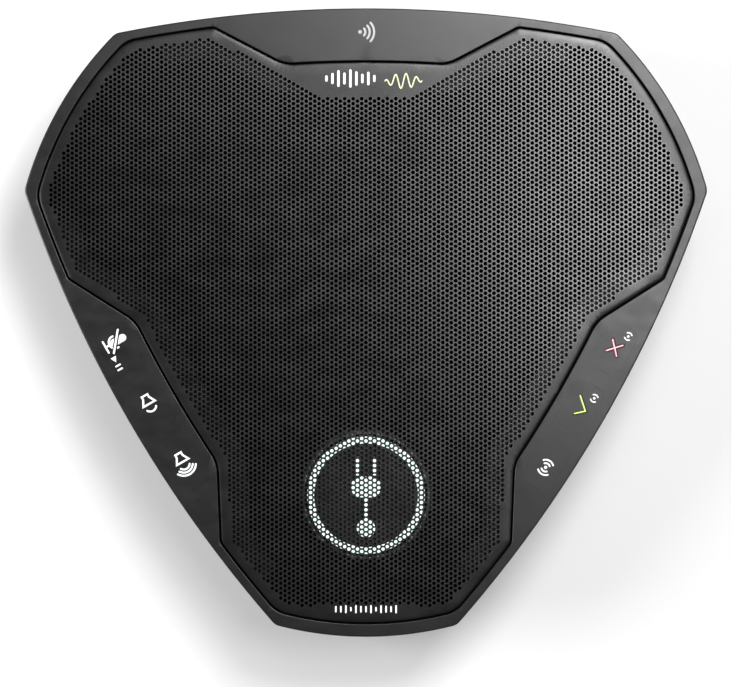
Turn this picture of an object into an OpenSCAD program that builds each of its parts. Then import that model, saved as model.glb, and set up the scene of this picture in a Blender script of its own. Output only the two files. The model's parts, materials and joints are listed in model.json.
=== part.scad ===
// Conference speakerphone: a domed, three-lobed desktop unit.
// Z = 0 is the surface that it rests on, +Y points to the rear with the sockets, and the origin
// is under the middle of the outline's box. The outline repeats every third of a turn.

/* [Outline] */
// Distance from the centre of symmetry to a short rounded side
lobe_r = 88.9; // [87:0.1:91]
// Distance from the centre of symmetry to the middle of a long side
side_r = 68.9; // [68:0.1:70]
// Radius of the long sides' outward bow
side_bow = 325; // [310:5:350]
// Rounding of the outline's six corners
corner_r = 3.5; // [2.5:0.5:6]

/* [Heights] */
// Height of the crown of the top
height = 34; // [33.5:0.1:35]
// Radius of the dome that the whole top follows
dome_r = 1400; // [1300:50:1800]
// Height of the joint line between the top frame and the bottom shell
split_z = 23.2; // [22.8:0.1:23.6]
// Height of the flat underside above the table
base_z = 1.2; // [1:0.1:1.4]

/* [Top] */
// Rounding of the grille's corners beside the outline's
opening_r = 8; // [6:1:9]
// Width of the rim beside the grille, at the short sides
rim_lobe = 3.2; // [2.8:0.1:3.6]
// Width of the rim beside the grille, along the long sides
rim_side = 2.3; // [2:0.1:2.6]
// Distance from the centre of symmetry to a wing's inner edge
wing_v = 55.7; // [55.5:0.1:55.9]
// Half the angle that a wing's inner edge spans, seen from the long side's centre
wing_a = 3.3; // [3.1:0.1:3.4]
// Slope of a wing's two diagonal edges
wing_slope = 27.7; // [26:0.1:29]
// Rounding where a wing's inner edge turns into a diagonal
wing_round = 9; // [7:0.5:10]
// Rounding where a diagonal meets the rim
shoulder_r = 2.5; // [1.5:0.5:3.5]
// Thickness of the grille
grille_t = 1.2; // [1:0.1:1.4]
// Gap between the grille and the top frame
groove = 0.5; // [0.4:0.05:0.6]

/* [Keys] */
// Spacing of the three keys on a wing
key_pitch = 16.8; // [16.4:0.1:17]
// Length of a key along the wing
key_w = 12.4; // [11.5:0.1:12.6]
// Width of a key across the wing
key_d = 8.2; // [7.6:0.1:8.2]
// Travel of a key
key_travel = 0.5; // [0.3:0.05:0.5]
// Gap round a key
key_gap = 0.12; // [0.1:0.01:0.16]

/* [Shell] */
// Wall of the bottom shell
shell_wall = 2.2; // [2:0.1:2.4]
// Wall of the top frame's skirt
skirt_wall = 2.4; // [2.2:0.1:2.6]
// Distance from the outline to the edge of the flat underside
base_inset = 24; // [23:0.5:25]

/* [Loudspeaker] */
// Radius of the loudspeaker's mounting flange
speaker_r = 32; // [31:0.5:32.5]
// Travel of the cone each way
cone_travel = 0.8; // [0.5:0.1:0.9]

/* [Sockets] */
// Radius of the headset socket's bore
jack_bore_r = 1.8; // [1.78:0.01:1.85]
// Length of the headset socket's bore
jack_bore_l = 14; // [13:0.5:14.5]

/* [Hidden] */

$fn = 64;
hair = 0.05;                            // gap between pieces that rest on each other
over = 1;                               // how far a cutter runs past what it cuts
weld = 0.2;                             // how far shapes that make one piece run into each other

mid_y = (lobe_r - side_r) / 2;          // centre of symmetry
side_drop = side_bow - side_r;          // from there to a long side's centre
wing_bow = side_drop + wing_v;          // radius of a wing's inner edge
dome_reach = 110;                       // the dome is made out to this distance from its axis
dome_step = 5.5;

ledge_z = 29.2;                         // top of the ledge that the grille rests on
ledge_t = 2;
ledge_w = 7;
carrier_top = ledge_z - ledge_t - 0.1;
carrier_t = 2.1;
carrier_z = carrier_top - carrier_t;
carrier_inset = 2.8;
lip_h = 1.4;                            // lip of the shell inside the top frame's skirt
lip_low = 2.6;                          // and how far it runs down inside the shell
lip_t = 1.2;

key_v = 62;                             // distance from the centre of symmetry to the keys
key_r = 2.2;
flange = 0.6;
flange_t = 0.85;
pocket_z = 30.4;                        // underside of the wing's skin, above the keys' flanges
pocket_l = 48;
pocket_d = 9.8;
pocket_r = 3;
pocket_play = 0.3;
key_board_z = ledge_z - ledge_t + hair;
key_board_t = 1;
snap_r = 2.2;                           // snap domes under the keys
snap_h = 0.25;
mat_t = 0.5;
stem_r = 1.4;
stem_l = 0.8;
ribbon_v = 58;
ribbon_w = 6;
ribbon_t = 0.3;

display_y = -43.3;
display_r = 16;
display_board_r = 21.5;
display_board_z = 20.5;
display_post_r = 20;
thin_board = 1.2;

speaker_y = 19;
speaker_open = 27.5;                    // radius of the carrier's opening over the cone
gasket_t = 0.75;
basket_z = 23;                          // underside of the basket's flange
basket_t = 1.15;
chamber_r = 36;
chamber_z = 4.4;
chamber_wall = 1.5;
yoke_z = chamber_z + chamber_wall + 0.15;
yoke_t = 1.5;
pole_r = 7;
magnet_z = yoke_z + yoke_t + hair;
magnet_t = 3.95;
plate_z = magnet_z + magnet_t + hair;
plate_t = 2;
seat_z = plate_z + plate_t + 2 * hair;  // where the basket sits on the top plate
coil_r = 7.4;                           // inner radius of the voice coil's tube
coil_wall = 0.3;
coil_low = yoke_z + yoke_t + cone_travel + 3 * hair;
coil_top = 17.6;
screw_ring = speaker_r - 1.6;           // radius of the loudspeaker's screw circle

mic_r = 76;                             // distance from the centre of symmetry to the microphones
mic_port_r = 0.8;
mic_board_r = 2.6;
mic_boot_h = 3;
boss_r = 4;
rear_boss = 60;                         // distance from the centre of symmetry to the two rear bosses
wing_boss = 41;                         // and to the two beside the main board
boss_top = 14;
pilot_r = 1.15;                         // hole that a screw cuts its thread in
pilot_l = 7.5;
clear_r = 1.4;                          // hole that a screw passes through
screw_core = 1.1;
housing_head_r = 2.3;
head_seat = 6;                          // where the housing screws' heads bear
carrier_screw_u = 26.6;
carrier_screw_v = 61.6;

foot_in = 56;
foot_out = 64;
foot_l = 30;
foot_sunk = 0.8;
shell_edge = 1.3;                       // inset of the shell at its upper edge
shell_top = split_z - 0.5;
floor_z = base_z + shell_wall;

door_y = -31;
door_w = 44;
door_l = 25;
door_t = 1.3;
door_open_w = 36;
door_open_l = 21;
door_screw_x = 19.8;
label = [52, 24, 26];                   // width, depth, and distance from the origin
battery = [34, 23, 8.6];
battery_z = 4.2;

small_pilot_r = 0.75;

main_z = 15;
main_t = 1.2;
main_pts = [[-47, -19.5], [-30, -52], [30, -52], [47, -19.5]];
main_screws = [[-34, -23.5], [34, -23.5], [-27, -48], [27, -48]];

port_y = 71.4;                          // face of the socket bay
port_wall = 2;
bay_w = 50;
bay_low = 7.6;
bay_high = 19.4;
port_board_z = 10;
port_board = [44, 12.4, 1.2];
port_top = port_board_z + port_board.z;
port_post = [17, 61];
usb_x = 11;
usb_size = [8.94, 7.4, 3.26];
usb_round = 1.2;
usb_wall = 0.35;
jack_x = -12;
jack_z = port_top + 2.9;
power_z = port_top + 2.6;
power_w = 6.5;
power_h = 2.6;
power_travel = 0.4;

charcoal = [0.16, 0.16, 0.17];
dark = [0.1, 0.1, 0.11];
rubber_grey = [0.2, 0.2, 0.2];
shell_black = [0.13, 0.13, 0.14];
board_green = [0.08, 0.3, 0.17];
steel = [0.7, 0.7, 0.72];
gold = [0.8, 0.62, 0.25];
copper = [0.72, 0.42, 0.25];
cream = [0.85, 0.84, 0.8];

// ---------------------------------------------------------------- outlines

// Points of an arc about c, without its last one
function arc(c, r, from, to, n) =
  [for (i = [0:n - 1]) let (a = from + (to - from) * i / n) c + r * [cos(a), sin(a)]];

function turned(pts, a) =
  [for (p = pts) [p.x * cos(a) - p.y * sin(a), p.x * sin(a) + p.y * cos(a)]];

// Where a short side and a long side would meet, inset by dl and ds
function meet(dl, ds) =
  let (
    a = lobe_r - dl,
    b = side_bow - ds,
    y = (b * b - a * a - side_drop * side_drop) / (2 * side_drop)
  ) [sqrt(a * a - y * y), y];

// A third of the outline: half a short side, a corner, a long side, a corner, half a short side
function third(dl, ds, rc) =
  let (
    m = meet(dl + rc, ds + rc),
    on_lobe = atan2(m.y, m.x),
    on_side = atan2(m.y + side_drop, m.x)
  ) concat(
    arc([0, 0], lobe_r - dl, 30, on_lobe, 4),
    arc(m, rc, on_lobe, on_side, 3),
    arc([0, -side_drop], side_bow - ds, on_side, 180 - on_side, 16),
    arc([-m.x, m.y], rc, 180 - on_side, 180 - on_lobe, 3),
    arc([0, 0], lobe_r - dl, 180 - on_lobe, 150, 4)
  );

function outline(dl, ds, rc) = [for (k = [0:2]) each turned(third(dl, ds, rc), 120 * k)];

// A third of the grille's opening, inset by d. Its right half runs from the middle of a short side
// over the corner and the shoulder, along the diagonal, to the middle of the wing's inner edge.
function opening_third(d) =
  let (
    dl = rim_lobe + d,
    ds = rim_side + d,
    corner = meet(dl + opening_r, ds + opening_r),
    on_lobe = atan2(corner.y, corner.x),
    on_side = atan2(corner.y + side_drop, corner.x),
    centre = [0, -side_drop],
    bend = (wing_bow + wing_round) * [sin(wing_a), cos(wing_a)] + centre,
    along = [cos(wing_slope), sin(wing_slope)],
    inward = [sin(wing_slope), -cos(wing_slope)],
    r = max(shoulder_r - d, 0.3),
    start = bend + (wing_round + d + r) * inward - centre,
    far = side_bow - ds - r,
    run = -(start * along) + sqrt(pow(start * along, 2) - start * start + far * far),
    shoulder = centre + start + run * along,
    at_shoulder = atan2(shoulder.y + side_drop, shoulder.x),
    right = concat(
      arc([0, 0], lobe_r - dl, 30, on_lobe, 4),
      arc(corner, opening_r, on_lobe, on_side, 3),
      arc(centre, side_bow - ds, on_side, at_shoulder, 3),
      arc(shoulder, r, at_shoulder, 90 + wing_slope, 4),
      [shoulder - r * inward],
      arc(bend, wing_round + d, 270 + wing_slope, 270 - wing_a, 5),
      arc(centre, wing_bow - d, 90 - wing_a, 90, 4)
    ),
    n = len(right)
  ) concat(right, [[0, wing_v - d]], [for (i = [n - 1:-1:1]) [-right[i].x, right[i].y]]);

function dome_z(p) = height - dome_r + sqrt(dome_r * dome_r - p.x * p.x - p.y * p.y);

// ---------------------------------------------------------------- shared shapes

// The opening that the grille fills, inset by d
module grille_area(d) {
  translate([0, mid_y])
    polygon([for (k = [0:2]) each turned(opening_third(d), 120 * k)]);
}

// Everything above the table and lower than the dome by at least drop
module under_dome(drop) {
  translate([0, mid_y])
    rotate_extrude($fn = 180)
      polygon(concat(
        [for (r = [0:dome_step:dome_reach]) [r, dome_z([r, 0]) - drop]],
        [[dome_reach, 0], [0, 0]]
      ));
}

module inset_plate(inset, z, t) {
  translate([0, mid_y, z])
    linear_extrude(t)
      polygon(outline(inset, inset, corner_r));
}

// Solid through closed rings of equally many points, from the lowest ring up
module loft(rings) {
  n = len(rings[0]);
  m = len(rings);
  sides = [
    for (k = [0:m - 2], i = [0:n - 1])
      let (j = (i + 1) % n, a = k * n + i, b = a + n, c = (k + 1) * n + j, d = k * n + j)
        each [[a, b, c], [a, c, d]]
  ];
  polyhedron(
    points = [for (ring = rings) each ring],
    faces = concat([[for (i = [0:n - 1]) i]], sides, [[for (i = [n - 1:-1:0]) (m - 1) * n + i]])
  );
}

// Wing k in its own frame: 0 rear, 1 left, 2 right, with +Y outwards
module at_wing(k) {
  translate([0, mid_y, 0])
    rotate(120 * k)
      children();
}

// Lobe k in its own frame: 0 front, 1 right, 2 left, with -Y outwards
module at_lobe(k) {
  at_wing(k)
    children();
}

// The four bosses where the bottom shell is screwed to the carrier
module at_bosses() {
  for (k = [1, 2]) {
    at_lobe(k)
      translate([0, -rear_boss, 0])
        children();
    at_wing(k)
      translate([0, wing_boss, 0])
        children();
  }
}

module round_rect(w, d, r) {
  difference() {
    square([w, d], center = true);
    for (x = [-1, 1], y = [-1, 1])
      translate([x * (w / 2 - r), y * (d / 2 - r)])
        difference() {
          translate([x > 0 ? 0 : -2 * r, y > 0 ? 0 : -2 * r])
            square(2 * r);
          circle(r, $fn = 48);
        }
  }
}

module ring(r_in, r_out, z, t) {
  translate([0, 0, z])
    difference() {
      cylinder(r = r_out, h = t);
      translate([0, 0, -over])
        cylinder(r = r_in, h = t + 2 * over);
    }
}

// Screw with its head down, from the head's underside at z = 0
module screw(head_r, head_h, core_r, length) {
  difference() {
    cylinder(r = head_r, h = head_h);
    translate([0, 0, -over])
      cylinder(r = head_r * 0.45, h = over + head_h * 0.5, $fn = 6);
  }
  translate([0, 0, head_h])
    cylinder(r = core_r, h = length);
}

// Round lead of radius r along a path whose steps all differ in direction by less than 90 degrees
module lead(path, r) {
  n = len(path);
  sides = 8;
  function step(i) = path[min(i + 1, n - 1)] - path[max(i - 1, 0)];
  function across(v) = let (w = cross(v, [0.12, 0.05, 1])) w / norm(w);
  rings = [
    for (i = [0:n - 1])
      let (v = step(i) / norm(step(i)), x = across(v), y = cross(v, x))
        [for (s = [0:sides - 1]) path[i] + r * (cos(360 * s / sides) * x + sin(360 * s / sides) * y)]
  ];
  loft(rings);
}

// ---------------------------------------------------------------- top

// Rings of the top frame's outside: skirt, rounded edge, then the dome
function frame_ring(inset, drop) =
  [for (p = outline(inset, inset, corner_r)) [p.x, p.y, dome_z(p) - drop]];

function level_ring(inset, z, rc) = [for (p = outline(inset, inset, rc)) [p.x, p.y, z]];

module top_frame() {
  edge = 0.4;                           // rounding of the rim's upper edge
  core = 30;                            // the last ring lies in the grille's opening
  color(charcoal)
    difference() {
      translate([0, mid_y, 0])
        loft([
          level_ring(1, split_z, corner_r),
          level_ring(0.25, split_z + 0.6, corner_r),
          level_ring(0, split_z + 1.4, corner_r),
          frame_ring(0, edge),
          frame_ring(edge * 0.3, edge * 0.3),
          frame_ring(edge, 0.02),
          frame_ring(7, 0),
          frame_ring(14, 0),
          level_ring(core, height - 0.5, corner_r)
        ]);
      inset_plate(skirt_wall, split_z - over, ledge_z - ledge_t - split_z + over);
      translate([0, 0, ledge_z - ledge_t - over])
        linear_extrude(ledge_t + 2 * over)
          grille_area(ledge_w);
      translate([0, 0, ledge_z])
        linear_extrude(height)
          grille_area(0);
      for (k = [0:2])
        at_wing(k) {
          translate([0, key_v, ledge_z - ledge_t - over])
            linear_extrude(pocket_z - ledge_z + ledge_t + over)
              round_rect(pocket_l, pocket_d, pocket_r);
          for (u = [-1, 1])
            translate([u * carrier_screw_u, carrier_screw_v, ledge_z - ledge_t - over])
              cylinder(r = pilot_r, h = over + 3.4);
        }
      for (k = [1, 2], u = [-1:1])
        at_wing(k)
          translate([u * key_pitch, key_v, pocket_z - over])
            linear_extrude(height)
              round_rect(key_w + 2 * key_gap, key_d + 2 * key_gap, key_r + key_gap);
    }
}

module grille() {
  skirt_t = 1.1;
  color(dark)
    intersection() {
      difference() {
        translate([0, 0, ledge_z + hair])
          linear_extrude(height)
            grille_area(groove);
        intersection() {
          translate([0, 0, ledge_z - over])
            linear_extrude(height)
              grille_area(groove + skirt_t);
          under_dome(grille_t);
        }
      }
      under_dome(0);
    }
}

module acoustic_cloth() {
  color([0.04, 0.04, 0.04])
    difference() {
      translate([0, 0, carrier_top + hair])
        linear_extrude(0.3)
          grille_area(ledge_w + 0.4);
      translate([0, display_y, carrier_z])
        cylinder(r = display_r + 0.6, h = 10);
    }
}

module carrier() {
  post_r = 1.6;
  color(shell_black)
    difference() {
      union() {
        inset_plate(carrier_inset, carrier_z, carrier_t);
        at_bosses()
          translate([0, 0, boss_top + 0.1])
            cylinder(r = boss_r, h = carrier_z - boss_top);
        translate([0, display_y, display_board_z + thin_board + hair])
          for (a = [90:120:330])
            rotate(a)
              translate([display_post_r, 0, 0])
                cylinder(r = post_r, h = carrier_z - display_board_z);
      }
      translate([0, speaker_y, carrier_z - over])
        cylinder(r = speaker_open, h = carrier_t + 2 * over);
      translate([0, display_y, carrier_z - over])
        cylinder(r = display_r + 0.4, h = carrier_t + 2 * over);
      at_bosses()
        translate([0, 0, boss_top - over])
          cylinder(r = pilot_r, h = over + pilot_l);
      for (k = [0:2]) {
        at_lobe(k)
          translate([0, -mic_r, carrier_z - over])
            cylinder(r = mic_port_r, h = carrier_t + 2 * over);
        at_wing(k)
          for (u = [-1, 1])
            translate([u * carrier_screw_u, carrier_screw_v, carrier_z - over])
              cylinder(r = clear_r, h = carrier_t + 2 * over);
      }
      // slots for the keys' ribbons, and the loudspeaker's screw holes
      for (k = [1, 2])
        at_wing(k)
          translate([ribbon_u(k), ribbon_v + ribbon_t / 2, carrier_z])
            cube([ribbon_w + 1, 1.4, 2 * carrier_t + over], center = true);
      at_speaker_screws()
        translate([0, 0, carrier_z - over])
          cylinder(r = 0.7, h = over + 1.6);
    }
}

// Key at place u on wing k, with its flange and the stem that presses the dome
module key(k, u) {
  color(charcoal)
    at_wing(k)
      translate([u * key_pitch, key_v, 0]) {
        intersection() {
          translate([0, 0, pocket_z - weld])
            linear_extrude(height)
              round_rect(key_w, key_d, key_r);
          translate([-u * key_pitch, -key_v - mid_y, 0])
            under_dome(0);
        }
        translate([0, 0, pocket_z - 0.1 - flange_t])
          linear_extrude(flange_t)
            round_rect(key_w + 2 * flange, key_d + 2 * flange, key_r + flange);
        translate([0, 0, key_board_z + key_board_t + snap_h + key_travel + hair])
          cylinder(r = stem_r, h = stem_l);
      }
}

// Silicone mat round the domes
module key_mat(k) {
  color(rubber_grey)
    at_wing(k)
      translate([0, key_v, key_board_z + key_board_t + hair])
        linear_extrude(mat_t)
          difference() {
            round_rect(pocket_l - 2 * pocket_play, pocket_d - 2 * pocket_play, pocket_r);
            for (u = [-1:1])
              translate([u * key_pitch, 0])
                circle(r = snap_r + 1.2);
          }
}

module key_board(k) {
  color(board_green)
    at_wing(k)
      translate([0, key_v, key_board_z])
        linear_extrude(key_board_t)
          round_rect(pocket_l - 2 * pocket_play, pocket_d - 2 * pocket_play, pocket_r);
}

// Snap domes under the six keys
module key_domes() {
  color(steel)
    for (k = [1, 2], u = [-1:1])
      at_wing(k)
        translate([u * key_pitch, key_v, key_board_z + key_board_t]) {
          cylinder(r = snap_r, h = snap_h * 0.5);
          cylinder(r = snap_r * 0.7, h = snap_h);
        }
}

// Flat board with a four-turn coil, under the rear wing
module contactless_antenna() {
  board_t = 0.6;
  track_t = 0.15;
  track_w = 0.4;
  turn = 1.6;                           // each turn is smaller by this
  coil = [42.8, 8];
  z = pocket_z - board_t - track_t - 0.35;
  color(board_green)
    at_wing(0)
      translate([0, key_v, z])
        linear_extrude(board_t)
          round_rect(pocket_l - 2, pocket_d - 1, pocket_r);
  color(copper)
    at_wing(0)
      translate([0, key_v, z + board_t])
        linear_extrude(track_t)
          for (i = [0:3])
            difference() {
              round_rect(coil.x - turn * i, coil.y - turn * i, 0.9);
              round_rect(coil.x - turn * i - 2 * track_w, coil.y - turn * i - 2 * track_w, 0.5);
            }
}

function ribbon_u(k) = k == 1 ? -16 : 16;

// Film that runs from a key board down through the carrier, then inwards to its connector
module key_ribbons() {
  low = main_z + main_t + 1.2;
  run = 5.5;
  color([0.75, 0.5, 0.2])
    for (k = [1, 2])
      at_wing(k)
        translate([ribbon_u(k) - ribbon_w / 2, ribbon_v, low]) {
          cube([ribbon_w, ribbon_t, key_board_z - low - hair]);
          translate([0, -run, 0])
            cube([ribbon_w, run + ribbon_t, ribbon_t]);
        }
}

// ---------------------------------------------------------------- display

// Diffuser that reaches up to the grille, with a collar under the carrier
module display_light_guide() {
  collar = 2;
  collar_t = 1.4;
  color([0.9, 0.93, 0.92])
    intersection() {
      translate([0, display_y, carrier_z - collar_t - 0.1]) {
        cylinder(r = display_r, h = height);
        cylinder(r = display_r + collar, h = collar_t);
      }
      under_dome(grille_t + 0.25);
    }
}

module display_board() {
  color(board_green)
    translate([0, display_y, display_board_z])
      cylinder(r = display_board_r, h = thin_board);
}

// Sixteen lamps under the ring and six under the glyph
module display_lamps() {
  lamp = 1.6;
  lamp_h = 0.7;
  ring_r = 13.6;
  color(cream)
    translate([-lamp / 2, display_y - lamp / 2, display_board_z + thin_board]) {
      for (a = [0:22.5:337.5])
        translate([ring_r * cos(a), ring_r * sin(a), 0])
          cube([lamp, lamp, lamp_h]);
      for (x = [-3, 3], y = [-6, 0, 6])
        translate([x, y, 0])
          cube([lamp, lamp, lamp_h]);
    }
}

// Pin header between the main board and the display board
module display_header() {
  z = main_z + main_t;
  pins = [14, 2.5];
  color(dark)
    translate([-pins.x / 2, display_y - pins.y / 2, z])
      cube([pins.x, pins.y, display_board_z - z - hair]);
}

// ---------------------------------------------------------------- loudspeaker

module at_speaker() {
  translate([0, speaker_y, 0])
    children();
}

module at_speaker_screws() {
  for (a = [45:90:315])
    translate([screw_ring * cos(a), speaker_y + screw_ring * sin(a), 0])
      children();
}

module speaker_gasket() {
  color(rubber_grey)
    at_speaker()
      ring(speaker_open + 0.6, speaker_r - 2.4, basket_z + basket_t + hair, gasket_t - hair);
}

// Flange, sloping frame with four windows, and the seat on the top plate
module speaker_basket() {
  seat_r = 18;
  sheet = 1.2;
  flange_in = 28.4;
  window = [20, 14, 4.6];
  color([0.25, 0.25, 0.26])
    difference() {
      at_speaker()
        difference() {
          union() {
            ring(flange_in, speaker_r, basket_z, basket_t);
            rotate_extrude()
              polygon([
                [seat_r, seat_z], [seat_r + sheet, seat_z],
                [flange_in + sheet, basket_z], [flange_in, basket_z]
              ]);
            ring(9.5, seat_r + sheet, seat_z, sheet);
          }
          for (a = [0:90:270])
            rotate(a)
              translate([14, -window.y / 2, seat_z + 2.6])
                cube(window);
        }
      at_speaker_screws() {
        cylinder(r = 0.9, h = height);
        cylinder(r = 1.8, h = basket_z);
      }
    }
}

// Rolled rubber edge between the cone and the basket
module speaker_surround() {
  roll = 1.9;
  mid = 26.1;
  sheet = 0.4;
  color(dark)
    at_speaker()
      rotate_extrude()
        translate([mid, basket_z]) {
          intersection() {
            difference() {
              circle(r = roll, $fn = 32);
              circle(r = roll - sheet, $fn = 32);
            }
            translate([-roll, 0])
              square([2 * roll, roll]);
          }
          translate([roll - sheet, 0])
            square([sheet + weld, sheet]);
        }
}

// Paper cone, from the coil's tube out to the surround
module speaker_cone() {
  neck = coil_r + 0.8;
  rim = 24;
  paper = 0.6;
  color([0.12, 0.12, 0.12])
    at_speaker()
      rotate_extrude()
        polygon([
          [neck, coil_top - 0.2], [neck + paper, coil_top - 0.4],
          [rim, basket_z - 0.4], [rim, basket_z + weld], [rim - paper, basket_z + weld]
        ]);
}

module speaker_dust_cap() {
  cap_r = 11;
  crown = 3;
  color([0.1, 0.1, 0.1])
    at_speaker()
      intersection() {
        translate([0, 0, coil_top + crown - cap_r])
          difference() {
            sphere(r = cap_r);
            sphere(r = cap_r - 0.5);
          }
        translate([0, 0, coil_top + 0.15])
          cylinder(r = coil_r + 0.7, h = crown + over);
      }
}

// Paper tube with its winding
module voice_coil() {
  winding = 0.32;
  winding_l = 4.4;
  color(copper)
    at_speaker() {
      ring(coil_r, coil_r + coil_wall, coil_low, coil_top - coil_low);
      ring(coil_r + coil_wall, coil_r + coil_wall + winding, coil_low + 0.6, winding_l);
    }
}

// Corrugated disc that centres the coil
module speaker_spider() {
  inner = coil_r + 0.65;
  outer = 17;
  z = 15.4;
  waves = 4;
  wave_h = 0.9;
  cloth = 0.3;
  wall = 0.25;
  pitch = (outer - inner) / waves;
  color([0.75, 0.6, 0.25])
    at_speaker()
      rotate_extrude()
        for (i = [0:waves - 1])
          translate([inner + i * pitch, z]) {
            square([pitch / 2 + wall, cloth]);
            translate([pitch / 2, 0])
              square([wall, wave_h]);
            translate([pitch / 2, wave_h - cloth])
              square([pitch / 2, cloth]);
            if (i < waves - 1)
              translate([pitch - wall, 0])
                square([wall, wave_h]);
          }
}

module speaker_top_plate() {
  color(steel)
    at_speaker()
      ring(8.5, 17, plate_z, plate_t);
}

module speaker_magnet() {
  color([0.2, 0.2, 0.22])
    at_speaker()
      ring(10.5, 16, magnet_z, magnet_t);
}

module speaker_yoke() {
  color(steel)
    at_speaker()
      translate([0, 0, yoke_z]) {
        cylinder(r = 16.5, h = yoke_t);
        cylinder(r = pole_r, h = plate_z + plate_t - yoke_z);
      }
}

// Sealed cup behind the loudspeaker, with a hole for its lead
module speaker_chamber() {
  tall = carrier_z - chamber_z - hair;
  color([0.14, 0.14, 0.15])
    at_speaker()
      difference() {
        translate([0, 0, chamber_z])
          cylinder(r = chamber_r, h = tall);
        translate([0, 0, chamber_z + chamber_wall])
          cylinder(r = chamber_r - chamber_wall, h = tall);
        rotate(240)
          translate([chamber_r, 0, 15])
            rotate([0, 90, 0])
              cylinder(r = 1.3, h = 6, center = true);
      }
}

module speaker_screws() {
  color(steel)
    at_speaker_screws()
      translate([0, 0, basket_z - 1])
        screw(1.5, 0.95, 0.6, 3.4);
}

// ---------------------------------------------------------------- microphones

// Round carrier board with the capsule on top, in each lobe
module microphones() {
  board_t = 0.6;
  capsule = [3, 2.4, 1];
  color(gold)
    for (k = [0:2])
      at_lobe(k)
        translate([0, -mic_r, carrier_z - mic_boot_h + 0.3]) {
          cylinder(r = mic_board_r, h = board_t);
          translate([-capsule.x / 2, -capsule.y / 2, board_t])
            cube(capsule);
        }
}

// Rubber cap that seals a microphone against the carrier
module microphone_boots() {
  wall = 1.1;
  roof = 0.95;
  color(rubber_grey)
    for (k = [0:2])
      at_lobe(k)
        translate([0, -mic_r, carrier_z - mic_boot_h])
          difference() {
            cylinder(r = mic_board_r + 0.1 + wall, h = mic_boot_h - hair);
            translate([0, 0, -over])
              cylinder(r = mic_board_r + 0.1, h = over + mic_boot_h - hair - roof);
            cylinder(r = mic_port_r, h = mic_boot_h + over);
          }
}

// ---------------------------------------------------------------- electronics

module main_board() {
  color(board_green)
    difference() {
      translate([0, 0, main_z])
        linear_extrude(main_t)
          polygon(main_pts);
      for (p = main_screws)
        translate([p.x, p.y, main_z - over])
          cylinder(r = clear_r, h = main_t + 2 * over);
    }
}

module board_chips() {
  z = main_z + main_t;
  color([0.06, 0.06, 0.07]) {
    for (x = [-12, 14])
      translate([x, -27, z])
        cube([7, 7, 0.9]);
    for (x = [-22, 18])
      translate([x, -43, z])
        cube([4, 5, 1.1]);
    translate([-33, -40, z])
      cube([5, 4, 1.2]);
    translate([25, -37, z])
      cube([5, 5, 1.2]);
  }
}

module shield_can() {
  can = [14, 10, 2.2];
  sheet = 0.25;
  color(steel)
    translate([-30, -36, main_z + main_t])
      difference() {
        cube(can);
        translate([sheet, sheet, -over])
          cube([can.x - 2 * sheet, can.y - 2 * sheet, can.z - sheet + over]);
      }
}

module board_capacitors() {
  color([0.5, 0.5, 0.55])
    for (p = [[-3, -22], [3, -22], [28, -24], [28, -30]])
      translate([p.x, p.y, main_z + main_t])
        cylinder(r = 2, h = 3.6);
}

module board_connectors() {
  z = main_z + main_t;
  color(cream) {
    translate([-23, -25.2, z])
      cube([6, 3, 3]);
    translate([38, -23.2, z])
      cube([6, 3, 3]);
    for (k = [1, 2])
      at_wing(k)
        translate([ribbon_u(k) - ribbon_w / 2 - 0.5, 49, z])
          cube([ribbon_w + 1, 3.4, 1.4]);
    translate([24, -33, main_z - 3])
      cube([3.5, 6, 3]);
  }
}

module battery_pack() {
  color([0.25, 0.42, 0.62])
    translate([-battery.x / 2, door_y - battery.y / 2, battery_z])
      cube(battery);
}

module battery_lead() {
  color([0.75, 0.1, 0.08])
    for (y = [-31, -29])
      lead([
        [battery.x / 2 + 0.1, y, 9], [19, y, 9], [20.6, y, 9.3],
        [21.9, y, 10.2], [22.6, y, 11.5], [23, y, 12.6], [23.6, y, 13.4]
      ], 0.5);
}

module speaker_lead() {
  color([0.1, 0.1, 0.1])
    lead([
      [-14.3, -5.8, 15], [-16, -8.7, 15], [-18, -12.2, 15], [-19, -14.8, 15.6],
      [-19.7, -17.6, 16.9], [-20, -20, 17.6], [-20, -22, 17.7]
    ], 0.7);
}

module port_cable() {
  color([0.1, 0.1, 0.1])
    lead([
      [22.8, 62, 10.8], [26.4, 60.5, 11], [31, 56, 12], [36, 49, 13.4], [39.6, 41, 14.4],
      [41.8, 32, 15], [42.8, 22, 15.4], [43, 12, 15.8], [42.8, 2, 16.3], [42.2, -7, 17],
      [41.5, -14, 17.6], [41.2, -20, 17.8]
    ], 0.9);
}

// ---------------------------------------------------------------- sockets

module port_board() {
  color(board_green)
    translate([-port_board.x / 2, port_y - port_wall - 0.4 - port_board.y, port_board_z])
      cube(port_board);
}

module usb_outline(grow) {
  rotate([90, 0, 0])
    linear_extrude(usb_size.y)
      round_rect(usb_size.x + 2 * grow, usb_size.z + 2 * grow, usb_round + grow);
}

// Metal shell of the USB inlet, closed at the back
module usb_socket() {
  color(steel)
    translate([usb_x, port_y - 0.3, port_top + usb_size.z / 2 + hair])
      difference() {
        usb_outline(0);
        translate([0, 1.2, 0])
          usb_outline(-usb_wall);
      }
}

module usb_contacts() {
  color(dark)
    translate([usb_x, port_y - 1, port_top + usb_size.z / 2 + hair])
      translate([-3.3, -5.4, -0.35])
        cube([6.6, 5.4, 0.7]);
}

// Body with a collar in the shell's wall and a bore for the plug
module headset_socket() {
  color(dark)
    translate([jack_x, port_y, jack_z])
      rotate([90, 0, 0])
        difference() {
          union() {
            translate([0, 0, -0.3])
              cylinder(r = 2.9, h = 3);
            translate([-3.2, -2.85, port_wall + 0.4])
              cube([6.4, 5.7, jack_bore_l - 2.6]);
          }
          translate([0, 0, -0.3 - over])
            cylinder(r = jack_bore_r, h = jack_bore_l + over);
        }
}

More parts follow.
